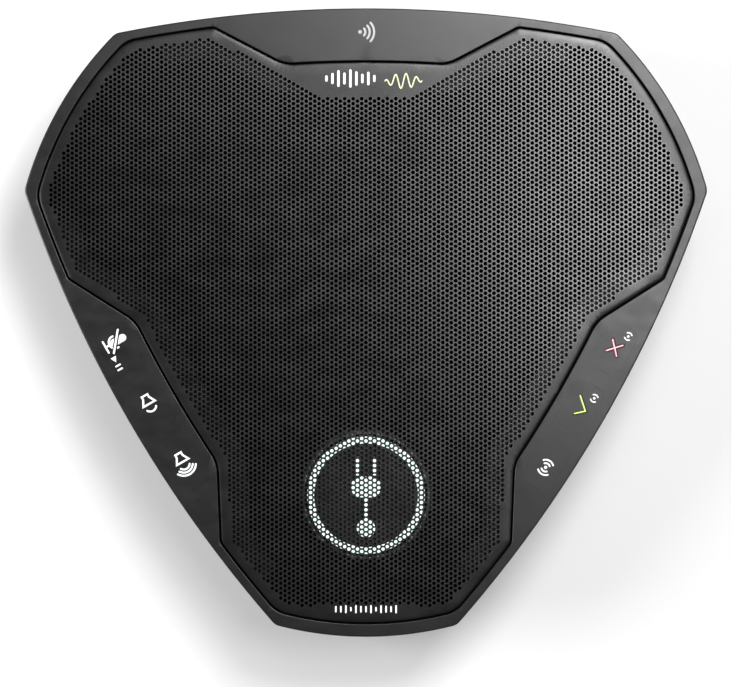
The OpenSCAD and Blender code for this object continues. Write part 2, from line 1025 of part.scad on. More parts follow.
module power_cap(grow, length) {
  rotate([90, 0, 0])
    linear_extrude(length)
      round_rect(power_w + 2 * grow, power_h + 2 * grow, power_h / 2 + grow - 0.05);
}

// Button with a flange behind the wall
module power_button() {
  color(charcoal)
    translate([0, port_y, power_z]) {
      translate([0, 0.5, 0])
        power_cap(0, port_wall + 0.9);
      translate([-power_w / 2 - 0.7, -port_wall - 0.9, -power_h / 2 - 0.4])
        cube([power_w + 1.4, 0.8, power_h + 0.8]);
    }
}

module power_switch() {
  color(steel)
    translate([0, port_y - port_wall - 0.9 - power_travel - hair, power_z]) {
      translate([-3, -3.4, -2.6 + hair])
        cube([6, 2.6, 4.4]);
      rotate([90, 0, 0])
        cylinder(r = 1, h = 1.2);
    }
}

// ---------------------------------------------------------------- bottom

// The shell's side is a quarter of an ellipse, from the flat underside up to the joint line
function shell_rings(wall, top) = [
  for (a = [0:10:90])
    let (inset = base_inset - (base_inset - shell_edge - wall) * sin(a))
      level_ring(
        inset,
        a == 90 ? top : shell_top - (shell_top - base_z - wall) * cos(a),
        corner_r + inset * 0.3
      )
];

module shell_outside() {
  translate([0, mid_y, 0])
    loft(shell_rings(0, shell_top));
}

// Wall behind the socket bay, bosses, and the posts of the boards and the battery door
module shell_posts() {
  translate([-bay_w / 2 - port_wall, port_y - port_wall, floor_z - weld])
    cube([bay_w + 2 * port_wall, side_r, bay_high + port_wall - floor_z + weld]);
  at_bosses()
    translate([0, 0, base_z])
      cylinder(r = boss_r, h = boss_top - base_z);
  for (p = main_screws)
    translate([p.x, p.y, floor_z - weld])
      cylinder(r = 2.4, h = main_z - floor_z + weld - hair);
  for (x = [-1, 1])
    translate([x * port_post.x, port_post.y, floor_z - weld])
      cylinder(r = 2.2, h = port_board_z - floor_z + weld - hair);
  for (x = [-1, 1])
    translate([x * door_screw_x, door_y, base_z + door_t + hair])
      cylinder(r = 1.9, h = 5);
}

module bottom_shell() {
  color(shell_black)
    difference() {
      union() {
        difference() {
          shell_outside();
          translate([0, mid_y, 0])
            loft(shell_rings(shell_wall, split_z));
        }
        // lip inside the top frame
        difference() {
          inset_plate(skirt_wall + 0.3, split_z - lip_low, lip_low + lip_h);
          inset_plate(skirt_wall + 0.3 + lip_t, split_z - lip_low - over, lip_low + lip_h + 2 * over);
        }
        intersection() {
          shell_outside();
          shell_posts();
        }
      }
      // socket bay
      translate([-bay_w / 2, port_y, bay_low])
        cube([bay_w, 20, bay_high - bay_low]);
      translate([usb_x, port_y + 2, port_top + usb_size.z / 2 + hair])
        usb_outline(0.12);
      translate([jack_x, port_y + over, jack_z])
        rotate([90, 0, 0])
          cylinder(r = 3, h = port_wall + 2 * over);
      translate([0, port_y + over, power_z])
        power_cap(0.12, port_wall + 2 * over);
      // recesses of the feet, and the housing screws' holes, two of them above a foot
      for (k = [0:2])
        at_lobe(k)
          translate([0, 0, base_z - over])
            linear_extrude(foot_sunk + over)
              foot_shape(0.15);
      at_bosses() {
        cylinder(r = housing_head_r + 0.3, h = head_seat);
        cylinder(r = clear_r, h = boss_top + over);
      }
      // battery door and the opening above it
      translate([0, door_y, base_z - over])
        linear_extrude(door_t + over)
          round_rect(door_w + 0.3, door_l + 0.3, 2);
      translate([0, door_y, base_z - over])
        linear_extrude(shell_wall + 2 * over)
          round_rect(door_open_w, door_open_l, 1.5);
      for (x = [-1, 1])
        translate([x * door_screw_x, door_y, base_z - over])
          cylinder(r = small_pilot_r, h = 6);
      for (p = main_screws)
        translate([p.x, p.y, main_z - 6])
          cylinder(r = small_pilot_r + 0.1, h = 6 + over);
      // shallow field for the rating label
      translate([0, label.z, base_z - over])
        linear_extrude(over + 0.3)
          round_rect(label.x, label.y, 2);
    }
}

module foot_shape(grow) {
  intersection() {
    difference() {
      circle(r = foot_out + grow, $fn = 180);
      circle(r = foot_in - grow, $fn = 180);
    }
    translate([-foot_l / 2 - grow, -foot_out - 2])
      square([foot_l + 2 * grow, foot_out]);
  }
}

module rubber_feet() {
  color([0.09, 0.09, 0.09])
    for (k = [0:2])
      at_lobe(k)
        linear_extrude(base_z + foot_sunk - hair)
          foot_shape(0);
}

module battery_door() {
  color(shell_black)
    difference() {
      translate([0, door_y, base_z])
        linear_extrude(door_t - hair)
          round_rect(door_w, door_l, 1.85);
      for (x = [-1, 1])
        translate([x * door_screw_x, door_y, base_z - over]) {
          cylinder(r = 0.95, h = 4);
          cylinder(r = 1.5, h = over + 0.6);
        }
      // finger grooves
      for (i = [-1:1])
        translate([-5, door_y - 9.6 + 1.6 * i, base_z - over])
          cube([10, 0.7, over + 0.4]);
    }
}

module door_screws() {
  color(steel)
    for (x = [-1, 1])
      translate([x * door_screw_x, door_y, base_z + 0.05])
        screw(1.35, 0.5, 0.7, 3.6);
}

module housing_screws() {
  head_h = 1.65;
  color(steel)
    at_bosses()
      translate([0, 0, head_seat - hair - head_h])
        screw(housing_head_r, head_h, screw_core, 13.8);
}

module carrier_screws() {
  color(steel)
    for (k = [0:2], u = [-1, 1])
      at_wing(k)
        translate([u * carrier_screw_u, carrier_screw_v, carrier_z - 1.35])
          screw(1.7, 1.3, screw_core, 5);
}

module board_screws() {
  color(steel)
    for (p = main_screws)
      translate([p.x, p.y, main_z + main_t + 1.05])
        mirror([0, 0, 1])
          translate([0, 0, -0.05])
            screw(2, 1, 0.8, 5.6);
}

top_frame();
grille();
acoustic_cloth();
carrier();
key(1, 1);  // key_mute
key(1, 0);  // key_volume_down
key(1, -1);  // key_volume_up
key(2, -1);  // key_hang_up
key(2, 0);  // key_answer
key(2, 1);  // key_wireless
key_mat(1);  // key_mat_left
key_mat(2);  // key_mat_right
key_board(1);  // key_board_left
key_board(2);  // key_board_right
key_domes();
contactless_antenna();
display_light_guide();
display_board();
display_lamps();
display_header();
speaker_gasket();
speaker_basket();
speaker_surround();
speaker_cone();
speaker_dust_cap();
voice_coil();
speaker_spider();
speaker_top_plate();
speaker_magnet();
speaker_yoke();
speaker_chamber();
speaker_screws();
microphones();
microphone_boots();
main_board();
board_chips();
shield_can();
board_capacitors();
board_connectors();
battery_pack();
battery_lead();
speaker_lead();
port_cable();
key_ribbons();
port_board();
usb_socket();
usb_contacts();
headset_socket();
power_button();
power_switch();
bottom_shell();
rubber_feet();
battery_door();
door_screws();
housing_screws();
carrier_screws();
board_screws();
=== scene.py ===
"""Looks of the conference speakerphone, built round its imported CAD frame. Shapes are worked out in
millimetres and stored in metres, in the frame's own axes."""

import json
import math

import bmesh
import bpy
import numpy as np
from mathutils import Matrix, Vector
from mathutils.geometry import delaunay_2d_cdt


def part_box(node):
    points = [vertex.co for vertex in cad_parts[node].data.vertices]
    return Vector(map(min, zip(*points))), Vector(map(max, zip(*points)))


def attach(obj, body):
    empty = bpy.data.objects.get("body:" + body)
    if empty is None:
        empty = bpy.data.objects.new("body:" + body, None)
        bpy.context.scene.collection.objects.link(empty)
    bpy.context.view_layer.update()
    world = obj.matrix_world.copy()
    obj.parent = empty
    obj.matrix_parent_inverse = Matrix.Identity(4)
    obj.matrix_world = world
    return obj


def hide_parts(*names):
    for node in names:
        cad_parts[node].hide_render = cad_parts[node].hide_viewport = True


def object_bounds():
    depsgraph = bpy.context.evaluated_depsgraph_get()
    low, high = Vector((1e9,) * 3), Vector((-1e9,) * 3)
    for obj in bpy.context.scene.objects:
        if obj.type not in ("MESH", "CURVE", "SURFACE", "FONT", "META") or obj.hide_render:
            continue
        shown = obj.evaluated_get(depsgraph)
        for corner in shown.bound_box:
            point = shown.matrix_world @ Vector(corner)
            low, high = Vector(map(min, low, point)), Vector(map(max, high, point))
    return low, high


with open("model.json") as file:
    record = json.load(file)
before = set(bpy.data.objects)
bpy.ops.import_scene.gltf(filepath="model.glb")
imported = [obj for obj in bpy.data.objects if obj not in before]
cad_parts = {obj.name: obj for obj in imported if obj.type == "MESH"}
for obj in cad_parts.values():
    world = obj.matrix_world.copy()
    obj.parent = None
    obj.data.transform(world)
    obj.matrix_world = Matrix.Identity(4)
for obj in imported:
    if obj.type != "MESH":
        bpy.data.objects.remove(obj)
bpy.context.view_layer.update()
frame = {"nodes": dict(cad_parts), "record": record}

MM = 0.001
HOUSING = "housing"

# ---- sizes from the frame


def box_mm(node):
    """Lowest and highest corner of a CAD node, in millimetres."""
    low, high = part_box(node)
    return np.array(low) / MM, np.array(high) / MM


def middle(node):
    low, high = box_mm(node)
    return (low + high) / 2


def wing_of(k):
    """Rotation of wing k (0 rear, 1 left, 2 right) about the centre of symmetry, in radians."""
    return math.radians(120 * k)


FRAME_LOW, FRAME_HIGH = box_mm("top_frame")
GRILLE_LOW, GRILLE_HIGH = box_mm("grille")
KEY_V = -middle("key_volume_down")[0] / math.cos(math.radians(30))
CENTRE = np.array([0, middle("key_volume_down")[1] + KEY_V / 2])
LOBE_R = CENTRE[1] - FRAME_LOW[1]
SIDE_R = FRAME_HIGH[1] - CENTRE[1]
HEIGHT = GRILLE_HIGH[2]
SPLIT_Z = FRAME_LOW[2]
LEDGE_Z = GRILLE_LOW[2] - 0.05
BASE_Z = box_mm("battery_door")[0][2]
DISPLAY = middle("display_light_guide")

# Shape values that no box gives, the same as in the part
SIDE_BOW = 325
CORNER_R = 3.5
OPENING_R = 8
DOME_R = 1400
RIM_LOBE = 3.2
RIM_SIDE = 2.3
WING_V = 55.7
WING_A = 3.3
WING_SLOPE = 27.7
WING_ROUND = 9
SHOULDER_R = 2.5
GRILLE_T = 1.2
GROOVE = 0.5
KEY_W = 12.4
KEY_D = 8.2
KEY_R = 2.2
KEY_GAP = 0.12
POCKET = (48, 9.8, 3)  # width, depth and corner of the pocket under each wing
POCKET_Z = 30.4
LEDGE_W = 7
LEDGE_T = 2
SKIRT_WALL = 2.4
SHELL_WALL = 2.2
BASE_INSET = 24
SHELL_EDGE = 1.3
SIDE_DROP = SIDE_BOW - SIDE_R
LEDGE_LOW = LEDGE_Z - LEDGE_T
SHELL_TOP = SPLIT_Z - 0.5

# ---- outlines


def arc(centre, r, start, end, n, to_end=False):
    """Points of an arc in degrees, without the one at its end unless to_end is set."""
    a = np.radians(np.linspace(start, end, n, endpoint=to_end))
    return np.array(centre) + r * np.column_stack([np.cos(a), np.sin(a)])


def turned(points, angle):
    c, s = math.cos(angle), math.sin(angle)
    return np.asarray(points) @ np.array([[c, s], [-s, c]])


def degrees_of(x, y):
    return math.degrees(math.atan2(y, x))


def whole(right):
    """Closed outline round the object's centre of symmetry: the right half of one third runs on into
    its mirror image, and the third is turned three times."""
    third = np.vstack([right, right[:1:-1] * [-1, 1]])
    return np.vstack([turned(third, wing_of(k)) for k in range(3)]) + CENTRE


def meet(dl, ds):
    """Where a short side inset by dl and a long side inset by ds cross."""
    a, b = LOBE_R - dl, SIDE_BOW - ds
    y = (b * b - a * a - SIDE_DROP * SIDE_DROP) / (2 * SIDE_DROP)
    return np.array([math.sqrt(a * a - y * y), y])


def outline(inset, rc=CORNER_R):
    """Closed outline of the body, inset from its widest."""
    m = meet(inset + rc, inset + rc)
    on_lobe = degrees_of(m[0], m[1])
    on_side = degrees_of(m[0], m[1] + SIDE_DROP)
    right = np.vstack([
        arc([0, 0], LOBE_R - inset, 30, on_lobe, 14),
        arc(m, rc, on_lobe, on_side, 12),
        arc([0, -SIDE_DROP], SIDE_BOW - inset, on_side, 90, 24),
        [[0, SIDE_R - inset]],
    ])
    return whole(right)


def opening(d):
    """Closed outline of the grille's opening, inset by d."""
    dl, ds = RIM_LOBE + d, RIM_SIDE + d
    corner = meet(dl + OPENING_R, ds + OPENING_R)
    on_lobe = degrees_of(corner[0], corner[1])
    on_side = degrees_of(corner[0], corner[1] + SIDE_DROP)
    centre = np.array([0, -SIDE_DROP])
    a, slope = math.radians(WING_A), math.radians(WING_SLOPE)
    wing_bow = SIDE_DROP + WING_V
    bend = (wing_bow + WING_ROUND) * np.array([math.sin(a), math.cos(a)]) + centre
    along = np.array([math.cos(slope), math.sin(slope)])
    inward = np.array([math.sin(slope), -math.cos(slope)])
    r = max(SHOULDER_R - d, 0.3)
    start = bend + (WING_ROUND + d + r) * inward - centre
    far = SIDE_BOW - ds - r
    run = -(start @ along) + math.sqrt((start @ along) ** 2 - start @ start + far * far)
    shoulder = centre + start + run * along
    at_shoulder = degrees_of(shoulder[0], shoulder[1] + SIDE_DROP)
    right = np.vstack([
        arc([0, 0], LOBE_R - dl, 30, on_lobe, 14),
        arc(corner, OPENING_R, on_lobe, on_side, 10),
        arc(centre, SIDE_BOW - ds, on_side, at_shoulder, 8),
        arc(shoulder, r, at_shoulder, 90 + WING_SLOPE, 8),
        [shoulder - r * inward],
        arc(bend, WING_ROUND + d, 270 + WING_SLOPE, 270 - WING_A, 14),
        arc(centre, wing_bow - d, 90 - WING_A, 90, 8),
        [[0, WING_V - d]],
    ])
    return whole(right)


def round_rect(w, d, r):
    """Closed rounded rectangle about the origin, anticlockwise."""
    parts = []
    for i, (sx, sy) in enumerate([(1, 1), (-1, 1), (-1, -1), (1, -1)]):
        centre = [sx * (w / 2 - r), sy * (d / 2 - r)]
        parts.append(arc(centre, r, 90 * i, 90 * i + 90, 9, to_end=True))
    return np.vstack(parts)


def on_wing(points, k, u=0.0, v=0.0):
    """Points given about (u, v) in wing k's own frame, +Y outwards, moved to the object's frame."""
    return turned(np.asarray(points) + [u, v], wing_of(k)) + CENTRE


def dome(points, drop=0.0):
    """Heights of the domed top at points, less drop."""
    p = np.asarray(points)[:, :2] - CENTRE
    return HEIGHT - DOME_R + np.sqrt(DOME_R * DOME_R - (p * p).sum(axis=1)) - drop


def at_height(points, z):
    p = np.asarray(points)
    return np.column_stack([p[:, 0], p[:, 1], np.full(len(p), z)])


def on_dome(points, drop=0.0):
    p = np.asarray(points)
    return np.column_stack([p[:, 0], p[:, 1], dome(p, drop)])


def inside(points, loops):
    """True where a point is inside an odd number of the loops."""
    p = np.asarray(points)
    result = np.zeros(len(p), dtype=bool)
    for loop in loops:
        loop = np.asarray(loop)
        for (x0, y0), (x1, y1) in zip(loop, np.roll(loop, -1, axis=0)):
            if y0 == y1:
                continue
            crosses = (p[:, 1] > min(y0, y1)) & (p[:, 1] <= max(y0, y1))
            x = x0 + (p[:, 1] - y0) * (x1 - x0) / (y1 - y0)
            result ^= crosses & (p[:, 0] < x)
    return result


# ---- mesh building


class Shape:
    """Points in millimetres with the faces between them, filled ring by ring."""

    def __init__(self):
        self.points = np.zeros((0, 3))
        self.faces = []

    def ring(self, points):
        """Adds points and returns their numbers."""
        first = len(self.points)
        self.points = np.vstack([self.points, points])
        return np.arange(first, len(self.points))

    def bridge(self, a, b):
        self.faces.append(np.column_stack([a, np.roll(a, -1), np.roll(b, -1), b]))

    def bands(self, rings):
        """Adds rings of equally many points and joins each to the next. Returns their numbers."""
        rings = [self.ring(r) for r in rings]
        for a, b in zip(rings, rings[1:]):
            self.bridge(a, b)
        return rings

    def plate(self, loops, top, bottom, step=None):
        """Adds a solid between loops, from the surface bottom up to the surface top."""
        pairs = [self.bands([top(loop), bottom(loop)]) for loop in loops]
        self.fill([pair[0] for pair in pairs], top, step)
        self.fill([pair[1] for pair in pairs])

    def cap(self, ring):
        """Closes a ring with a fan round a new middle point."""
        mid = self.ring([self.points[ring].mean(axis=0)])[0]
        self.faces.append(np.column_stack([ring, np.roll(ring, -1), np.full(len(ring), mid)]))

    def fill(self, rings, surface=None, step=None):
        """Fills between rings with triangles. With a step, points on a grid of that step are added
        at the heights that surface gives."""
        numbers = np.concatenate(rings)
        flat = [self.points[r][:, :2] for r in rings]
        edges = []
        first = 0
        for loop in flat:
            n = len(loop)
            edges += [(first + i, first + (i + 1) % n) for i in range(n)]
            first += n
        points = np.vstack(flat)
        if step:
            low, high = points.min(axis=0), points.max(axis=0)
            xs = np.arange(low[0] + step / 2, high[0], step)
            ys = np.arange(low[1] + step / 2, high[1], step)
            grid = np.array([(x, y) for x in xs for y in ys]).reshape(-1, 2)
            grid = grid[inside(grid, flat)]
            gaps = ((grid[:, None] - points[None]) ** 2).sum(axis=2).min(axis=1)
            grid = grid[gaps > (step * 0.45) ** 2]
            numbers = np.concatenate([numbers, self.ring(surface(grid))])
            points = np.vstack([points, grid])
        _, _, triangles, sources, _, _ = delaunay_2d_cdt(
            [Vector(p) for p in points], edges, [], 0, 1e-7)
        triangles = np.array(triangles)
        source = np.array([s[0] for s in sources])
        middles = points[source[triangles]].mean(axis=1)
        self.faces.append(numbers[source[triangles[inside(middles, flat)]]])


def mesh_object(name, shape):
    """Blender object of a shape, with its faces turned outwards."""
    mesh = bpy.data.meshes.new(name)
    corners = np.concatenate([np.asarray(f).ravel() for f in shape.faces]).astype(np.int32)
    sizes = np.concatenate([np.full(len(f), np.asarray(f).shape[1]) for f in shape.faces])
    mesh.vertices.add(len(shape.points))
    mesh.vertices.foreach_set("co", (shape.points * MM).ravel().astype(np.float32))
    mesh.loops.add(len(corners))
    mesh.loops.foreach_set("vertex_index", corners)
    mesh.polygons.add(len(sizes))
    starts = np.concatenate([[0], np.cumsum(sizes)[:-1]]).astype(np.int32)
    mesh.polygons.foreach_set("loop_start", starts)
    mesh.update(calc_edges=True)
    mesh.validate()
    work = bmesh.new()
    work.from_mesh(mesh)
    bmesh.ops.recalc_face_normals(work, faces=work.faces)
    work.to_mesh(mesh)
    work.free()
    obj = bpy.data.objects.new(name, mesh)
    bpy.context.collection.objects.link(obj)
    return obj


def shade(obj, angle=32, weighted=True):
    """Smooth shading with edges kept sharp above an angle in degrees, and large faces kept flat."""
    obj.data.shade_smooth()
    obj.data.set_sharp_from_angle(angle=math.radians(angle))
    if weighted:
        change = obj.modifiers.new("weighted", "WEIGHTED_NORMAL")
        change.keep_sharp = True
        bpy.context.view_layer.objects.active = obj
        bpy.ops.object.modifier_apply(modifier=change.name)


def declare(obj, slot, body=HOUSING, stands_for=None, look=None):
    """Gives a piece the material of its look, or else of its slot, puts it on its body, and hides the
    CAD node that it stands for.
    """
    obj.data.materials.append(MATERIALS[look or slot])
    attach(obj, body)
    if stands_for:
        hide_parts(stands_for)


def make_piece(name, shape, slot, body=HOUSING, stands_for=None, look=None, angle=32):
    obj = mesh_object(name, shape)
    shade(obj, angle)
    declare(obj, slot, body, stands_for, look)


def cut(obj, cutter):
    """Takes the cutter away from obj and removes it."""
    change = obj.modifiers.new("cut", "BOOLEAN")
    change.operation = "DIFFERENCE"
    change.solver = "EXACT"
    change.object = cutter
    bpy.context.view_layer.objects.active = obj
    bpy.ops.object.modifier_apply(modifier=change.name)
    bpy.data.objects.remove(cutter, do_unlink=True)


def prism(shape, points, low, high, place=at_height):
    """Adds a closed prism over a flat outline to a shape."""
    for ring in shape.bands([place(points, low), place(points, high)]):
        shape.cap(ring)


# ---- materials

MATERIALS = {}


def put(node, **values):
    """Sets a node's inputs by name, with a low line for each space."""
    for name, value in values.items():
        node.inputs[name.replace("_", " ")].default_value = value


class Nodes:
    """Node tree of a new material with one Principled shader, kept in MATERIALS by its name."""

    def __init__(self, name):
        material = bpy.data.materials.new(name)
        material.use_nodes = True
        MATERIALS[name] = material
        self.tree = material.node_tree
        self.shader = self.tree.nodes["Principled BSDF"]
        self.place = self.add("ShaderNodeTexCoord").outputs["Object"]

    def add(self, kind, **values):
        node = self.tree.nodes.new(kind)
        for key, value in values.items():
            setattr(node, key, value)
        return node

    def join(self, source, target):
        self.tree.links.new(source, target)

    def noise(self, size_mm, detail=2.0, roughness=0.5, stretch=None):
        """Noise whose features are about size_mm wide, from 0 to 1."""
        node = self.add("ShaderNodeTexNoise")
        put(node, Scale=1 / (size_mm * MM), Detail=detail, Roughness=roughness)
        place = self.place
        if stretch:
            mapping = self.add("ShaderNodeMapping")
            put(mapping, Scale=stretch)
            self.join(place, mapping.inputs["Vector"])
            place = mapping.outputs["Vector"]
        self.join(place, node.inputs["Vector"])
        return node.outputs["Fac"]

    def spread(self, source, low, high):
        """source mapped from the usual range of a noise, 0.3 to 0.7, to low..high."""
        node = self.add("ShaderNodeMapRange")
        put(node, From_Min=0.3, From_Max=0.7, To_Min=low, To_Max=high)
        self.join(source, node.inputs["Value"])
        return node.outputs["Result"]

    def colours(self, factor, first, second):
        node = self.add("ShaderNodeMix", data_type="RGBA")
        put(node, A=(*first, 1), B=(*second, 1))
        self.join(factor, node.inputs["Factor"])
        return node.outputs["Result"]

    def look(self, tone, roughness, height=None, depth_mm=0):
        """Joins the colour, the roughness and a relief of that depth to the shader."""
        self.join(tone, self.shader.inputs["Base Color"])
        self.join(roughness, self.shader.inputs["Roughness"])
        if height:
            node = self.add("ShaderNodeBump")
            put(node, Distance=depth_mm * MM)
            self.join(height, node.inputs["Height"])
            self.join(node.outputs["Normal"], self.shader.inputs["Normal"])

    def glow(self, colour, strength):
        put(self.shader, Emission_Color=(*colour, 1), Emission_Strength=strength)


def shades(colour, amount):
    """Two colours, darker and lighter than colour by amount."""
    return tuple(c * (1 - amount) for c in colour), tuple(min(c * (1 + amount), 1) for c in colour)


def moulded(name, colour, rough, grain_mm=0.16, depth_mm=0.006, vary=0.1, coat=0, specular=0.5):
    """Moulded plastic or rubber: spark-eroded grain, patchy gloss and faint changes of tone."""
    n = Nodes(name)
    grain = n.noise(grain_mm, 3.0, 0.55)
    tone = n.colours(n.spread(n.noise(22, 3.0), 0, 1), *shades(colour, vary))
    smudges = n.noise(7, 4.0, 0.6, (1, 1.6, 1))
    n.look(tone, n.spread(smudges, rough - 0.05, rough + 0.05), grain, depth_mm)
    put(n.shader, Coat_Weight=coat, Specular_IOR_Level=specular)


def metal(name, colour, rough, brush=(1, 12, 1)):
    """Metal with a brushed or rolled grain and small stains."""
    n = Nodes(name)
    lines = n.noise(0.25, 2.0, 0.6, brush)
    tone = n.colours(n.spread(n.noise(3.0, 4.0), 0, 1), *shades(colour, 0.12))
    n.look(tone, n.spread(lines, rough - 0.08, rough + 0.1), lines, 0.004)
    put(n.shader, Metallic=1)


def board(name, mask, copper):
    """Circuit board: solder mask with faint tracks and pads under it."""
    n = Nodes(name)
    cells = n.add("ShaderNodeTexBrick")
    put(cells, Scale=1 / (2.6 * MM), Mortar_Size=0.035)
    n.join(n.place, cells.inputs["Vector"])
    tracks = cells.outputs["Fac"]
    n.look(n.colours(tracks, mask, copper), n.spread(n.noise(1.2), 0.28, 0.42), tracks, 0.03)
    put(n.shader, Coat_Weight=0.3)


def weave(name, colour, pitch_mm, specular=0.5):
    """Woven cloth: two crossed sets of threads."""
    n = Nodes(name)
    waves = []
    for direction in ("X", "Y"):
        wave = n.add("ShaderNodeTexWave", bands_direction=direction)
        put(wave, Scale=1 / (pitch_mm * MM) / 3.2, Distortion=0.4)
        n.join(n.place, wave.inputs["Vector"])
        waves.append(wave.outputs["Fac"])
    both = n.add("ShaderNodeMath", operation="MULTIPLY")
    n.join(waves[0], both.inputs[0])
    n.join(waves[1], both.inputs[1])
    threads = both.outputs[0]
    tone = n.colours(threads, *shades(colour, 0.5))
    n.look(tone, n.spread(n.noise(0.5), 0.8, 0.95), threads, 0.05)
    put(n.shader, Specular_IOR_Level=specular)


def printed(name, colour, glow, strength):
    """Printed mark: slightly uneven ink with an emission of its own. Under glyph_light it is the light
    of the display's lamps; on the printed marks it is a painted glow that keeps the ink bright.
    """
    n = Nodes(name)
    n.look(n.colours(n.noise(0.3), *shades(colour, 0.06)), n.spread(n.noise(0.12), 0.4, 0.55))
    n.glow(glow, strength)


CHARCOAL = (0.0075, 0.0076, 0.0079)
COAL = (0.006, 0.006, 0.0062)
moulded("frame_plastic", CHARCOAL, 0.33)
moulded("key_plastic", CHARCOAL, 0.33)
moulded("grille_metal", COAL, 0.27, 0.12, 0.004, specular=0.85)
moulded("grille_edge", COAL, 0.3, 0.12, 0.004)
weave("cloth", (0.004, 0.004, 0.004), 0.45, specular=0.05)
moulded("shell_plastic", (0.026, 0.027, 0.029), 0.5, 0.22, 0.01)
moulded("inner_plastic", (0.05, 0.05, 0.054), 0.5, 0.3, 0.01)
moulded("rubber", (0.028, 0.028, 0.028), 0.72, 0.1, 0.006, vary=0.15)
moulded("light_guide", (0.78, 0.84, 0.83), 0.35, 0.3, 0.004, 0.04)
board("circuit_board", (0.012, 0.09, 0.045), (0.05, 0.2, 0.1))
moulded("lamps", (0.85, 0.84, 0.68), 0.2, 0.3, 0.002, 0.05, coat=0.5)
moulded("chip_resin", (0.018, 0.018, 0.02), 0.55, 0.1, 0.008)
metal("tin_plate", (0.62, 0.62, 0.6), 0.34)
moulded("ferrite", (0.05, 0.05, 0.055), 0.6, 0.25, 0.03, 0.2)
moulded("cone_paper", (0.022, 0.022, 0.023), 0.8, 0.5, 0.04, 0.3)
weave("spider_cloth", (0.42, 0.27, 0.09), 0.5)
metal("copper_wire", (0.75, 0.33, 0.16), 0.28, (1, 1, 30))
moulded("connector_plastic", (0.75, 0.72, 0.64), 0.35, 0.3, 0.004, 0.05)
moulded("battery_film", (0.03, 0.1, 0.26), 0.22, 1.5, 0.02, 0.08, coat=0.6)
moulded("red_wire", (0.45, 0.02, 0.015), 0.4, 0.4, 0.004)
moulded("black_wire", (0.02, 0.02, 0.02), 0.42, 0.4, 0.004)
moulded("flex_film", (0.42, 0.18, 0.03), 0.2, 0.8, 0.003, 0.1, coat=0.8)
metal("screw_steel", (0.5, 0.5, 0.52), 0.3, (1, 1, 6))
# The prints' emission is a painted glow that keeps the marks bright; only glyph_light has lamps behind
# it.
printed("white_print_painted_glow", (0.82, 0.83, 0.83), (0.9, 0.95, 1.0), 0.35)
printed("grey_print_painted_glow", (0.5, 0.5, 0.5), (1, 1, 1), 0.02)
printed("red_print", (0.85, 0.5, 0.54), (1.0, 0.5, 0.55), 0.4)
# Painted glow round the hang-up and answer marks: a dark tint of the mark's colour with a faint
# emission.
printed("red_halo", (0.05, 0.011, 0.018), (1.0, 0.1, 0.2), 0.02)
printed("green_print", (0.62, 0.8, 0.25), (0.75, 1.0, 0.2), 0.35)
printed("green_halo", (0.014, 0.035, 0.008), (0.3, 1.0, 0.1), 0.02)
printed("pale_print_painted_glow", (0.8, 0.82, 0.5), (0.9, 0.95, 0.5), 0.05)
printed("glyph_light", (0.6, 0.7, 0.68), (0.84, 1.0, 0.96), 1.3)

# ---- top frame

RIM_EDGE = 0.4
RIM_WALL = 1.2
SKIRT_ROUND = 1.2
SKIRT_LIP = 0.15
GROOVE_EDGE = 0.22
SEAM = 0.015


def quarter(steps):
    """Sine and cosine over a quarter turn, from 0."""
    return [(math.sin(a), math.cos(a)) for a in np.linspace(0, math.pi / 2, steps)]


def frame_side():
    """Rings of the rim, from inside the skirt, round its lower edge and up to the dome."""
    rings = [at_height(outline(i), z) for i, z in (
        (RIM_WALL, LEDGE_LOW), (RIM_WALL, LEDGE_LOW - 1), (SKIRT_WALL, LEDGE_LOW - 1.2),
        (SKIRT_WALL, SPLIT_Z + SKIRT_LIP), (SKIRT_WALL - SKIRT_LIP, SPLIT_Z))]
    for s, c in quarter(6):
        rings.append(at_height(outline(1 - s), SPLIT_Z + SKIRT_ROUND * (1 - c)))
    for s, c in quarter(8):
        rings.append(on_dome(outline(RIM_EDGE * (1 - c)), RIM_EDGE * (1 - s)))
    return rings


def key_places():
    """Wing of each key and place along it, found from where the CAD has them."""
    places = {}
    for name in frame["nodes"]:
        if not name.startswith("key_") or name.split("_")[1] in ("mat", "board", "domes", "ribbons"):
            continue
        at = middle(name)[:2] - CENTRE
        k = 1 if at[0] < 0 else 2
        places[name] = k, turned([at], -wing_of(k))[0][0]
    return dict(sorted(places.items()))


KEYS = key_places()


def make_top_frame():
    shape = Shape()
    side = shape.bands(frame_side())
    rim = [on_dome(opening(GROOVE_EDGE * (s - 1)), GROOVE_EDGE * (1 - c))
           for s, c in quarter(5)]
    inner = shape.bands(rim + [
        at_height(opening(0), LEDGE_Z), at_height(opening(LEDGE_W), LEDGE_Z),
        at_height(opening(LEDGE_W), LEDGE_LOW)])
    grown = KEY_GAP - SEAM / 2
    hole = round_rect(KEY_W + 2 * grown, KEY_D + 2 * grown, KEY_R + grown)
    holes = {}
    for name, (k, u) in KEYS.items():
        place = on_wing(hole, k, u, KEY_V)
        holes[name] = shape.bands([on_dome(place), at_height(place, POCKET_Z)])
    pockets = []
    for k in range(3):
        place = on_wing(round_rect(*POCKET), k, 0, KEY_V)
        low, high = shape.bands([at_height(place, LEDGE_LOW), at_height(place, POCKET_Z)])
        pockets.append(low)
        own = [holes[name][1] for name, (wing, _) in KEYS.items() if wing == k]
        shape.fill([high] + own)
    shape.fill([side[-1], inner[0]] + [h[0] for h in holes.values()], on_dome, 4)
    shape.fill([side[0], inner[-1]] + pockets)
    make_piece("rim_and_wings", shape, "frame_plastic", stands_for="top_frame")


# ---- perforated grille

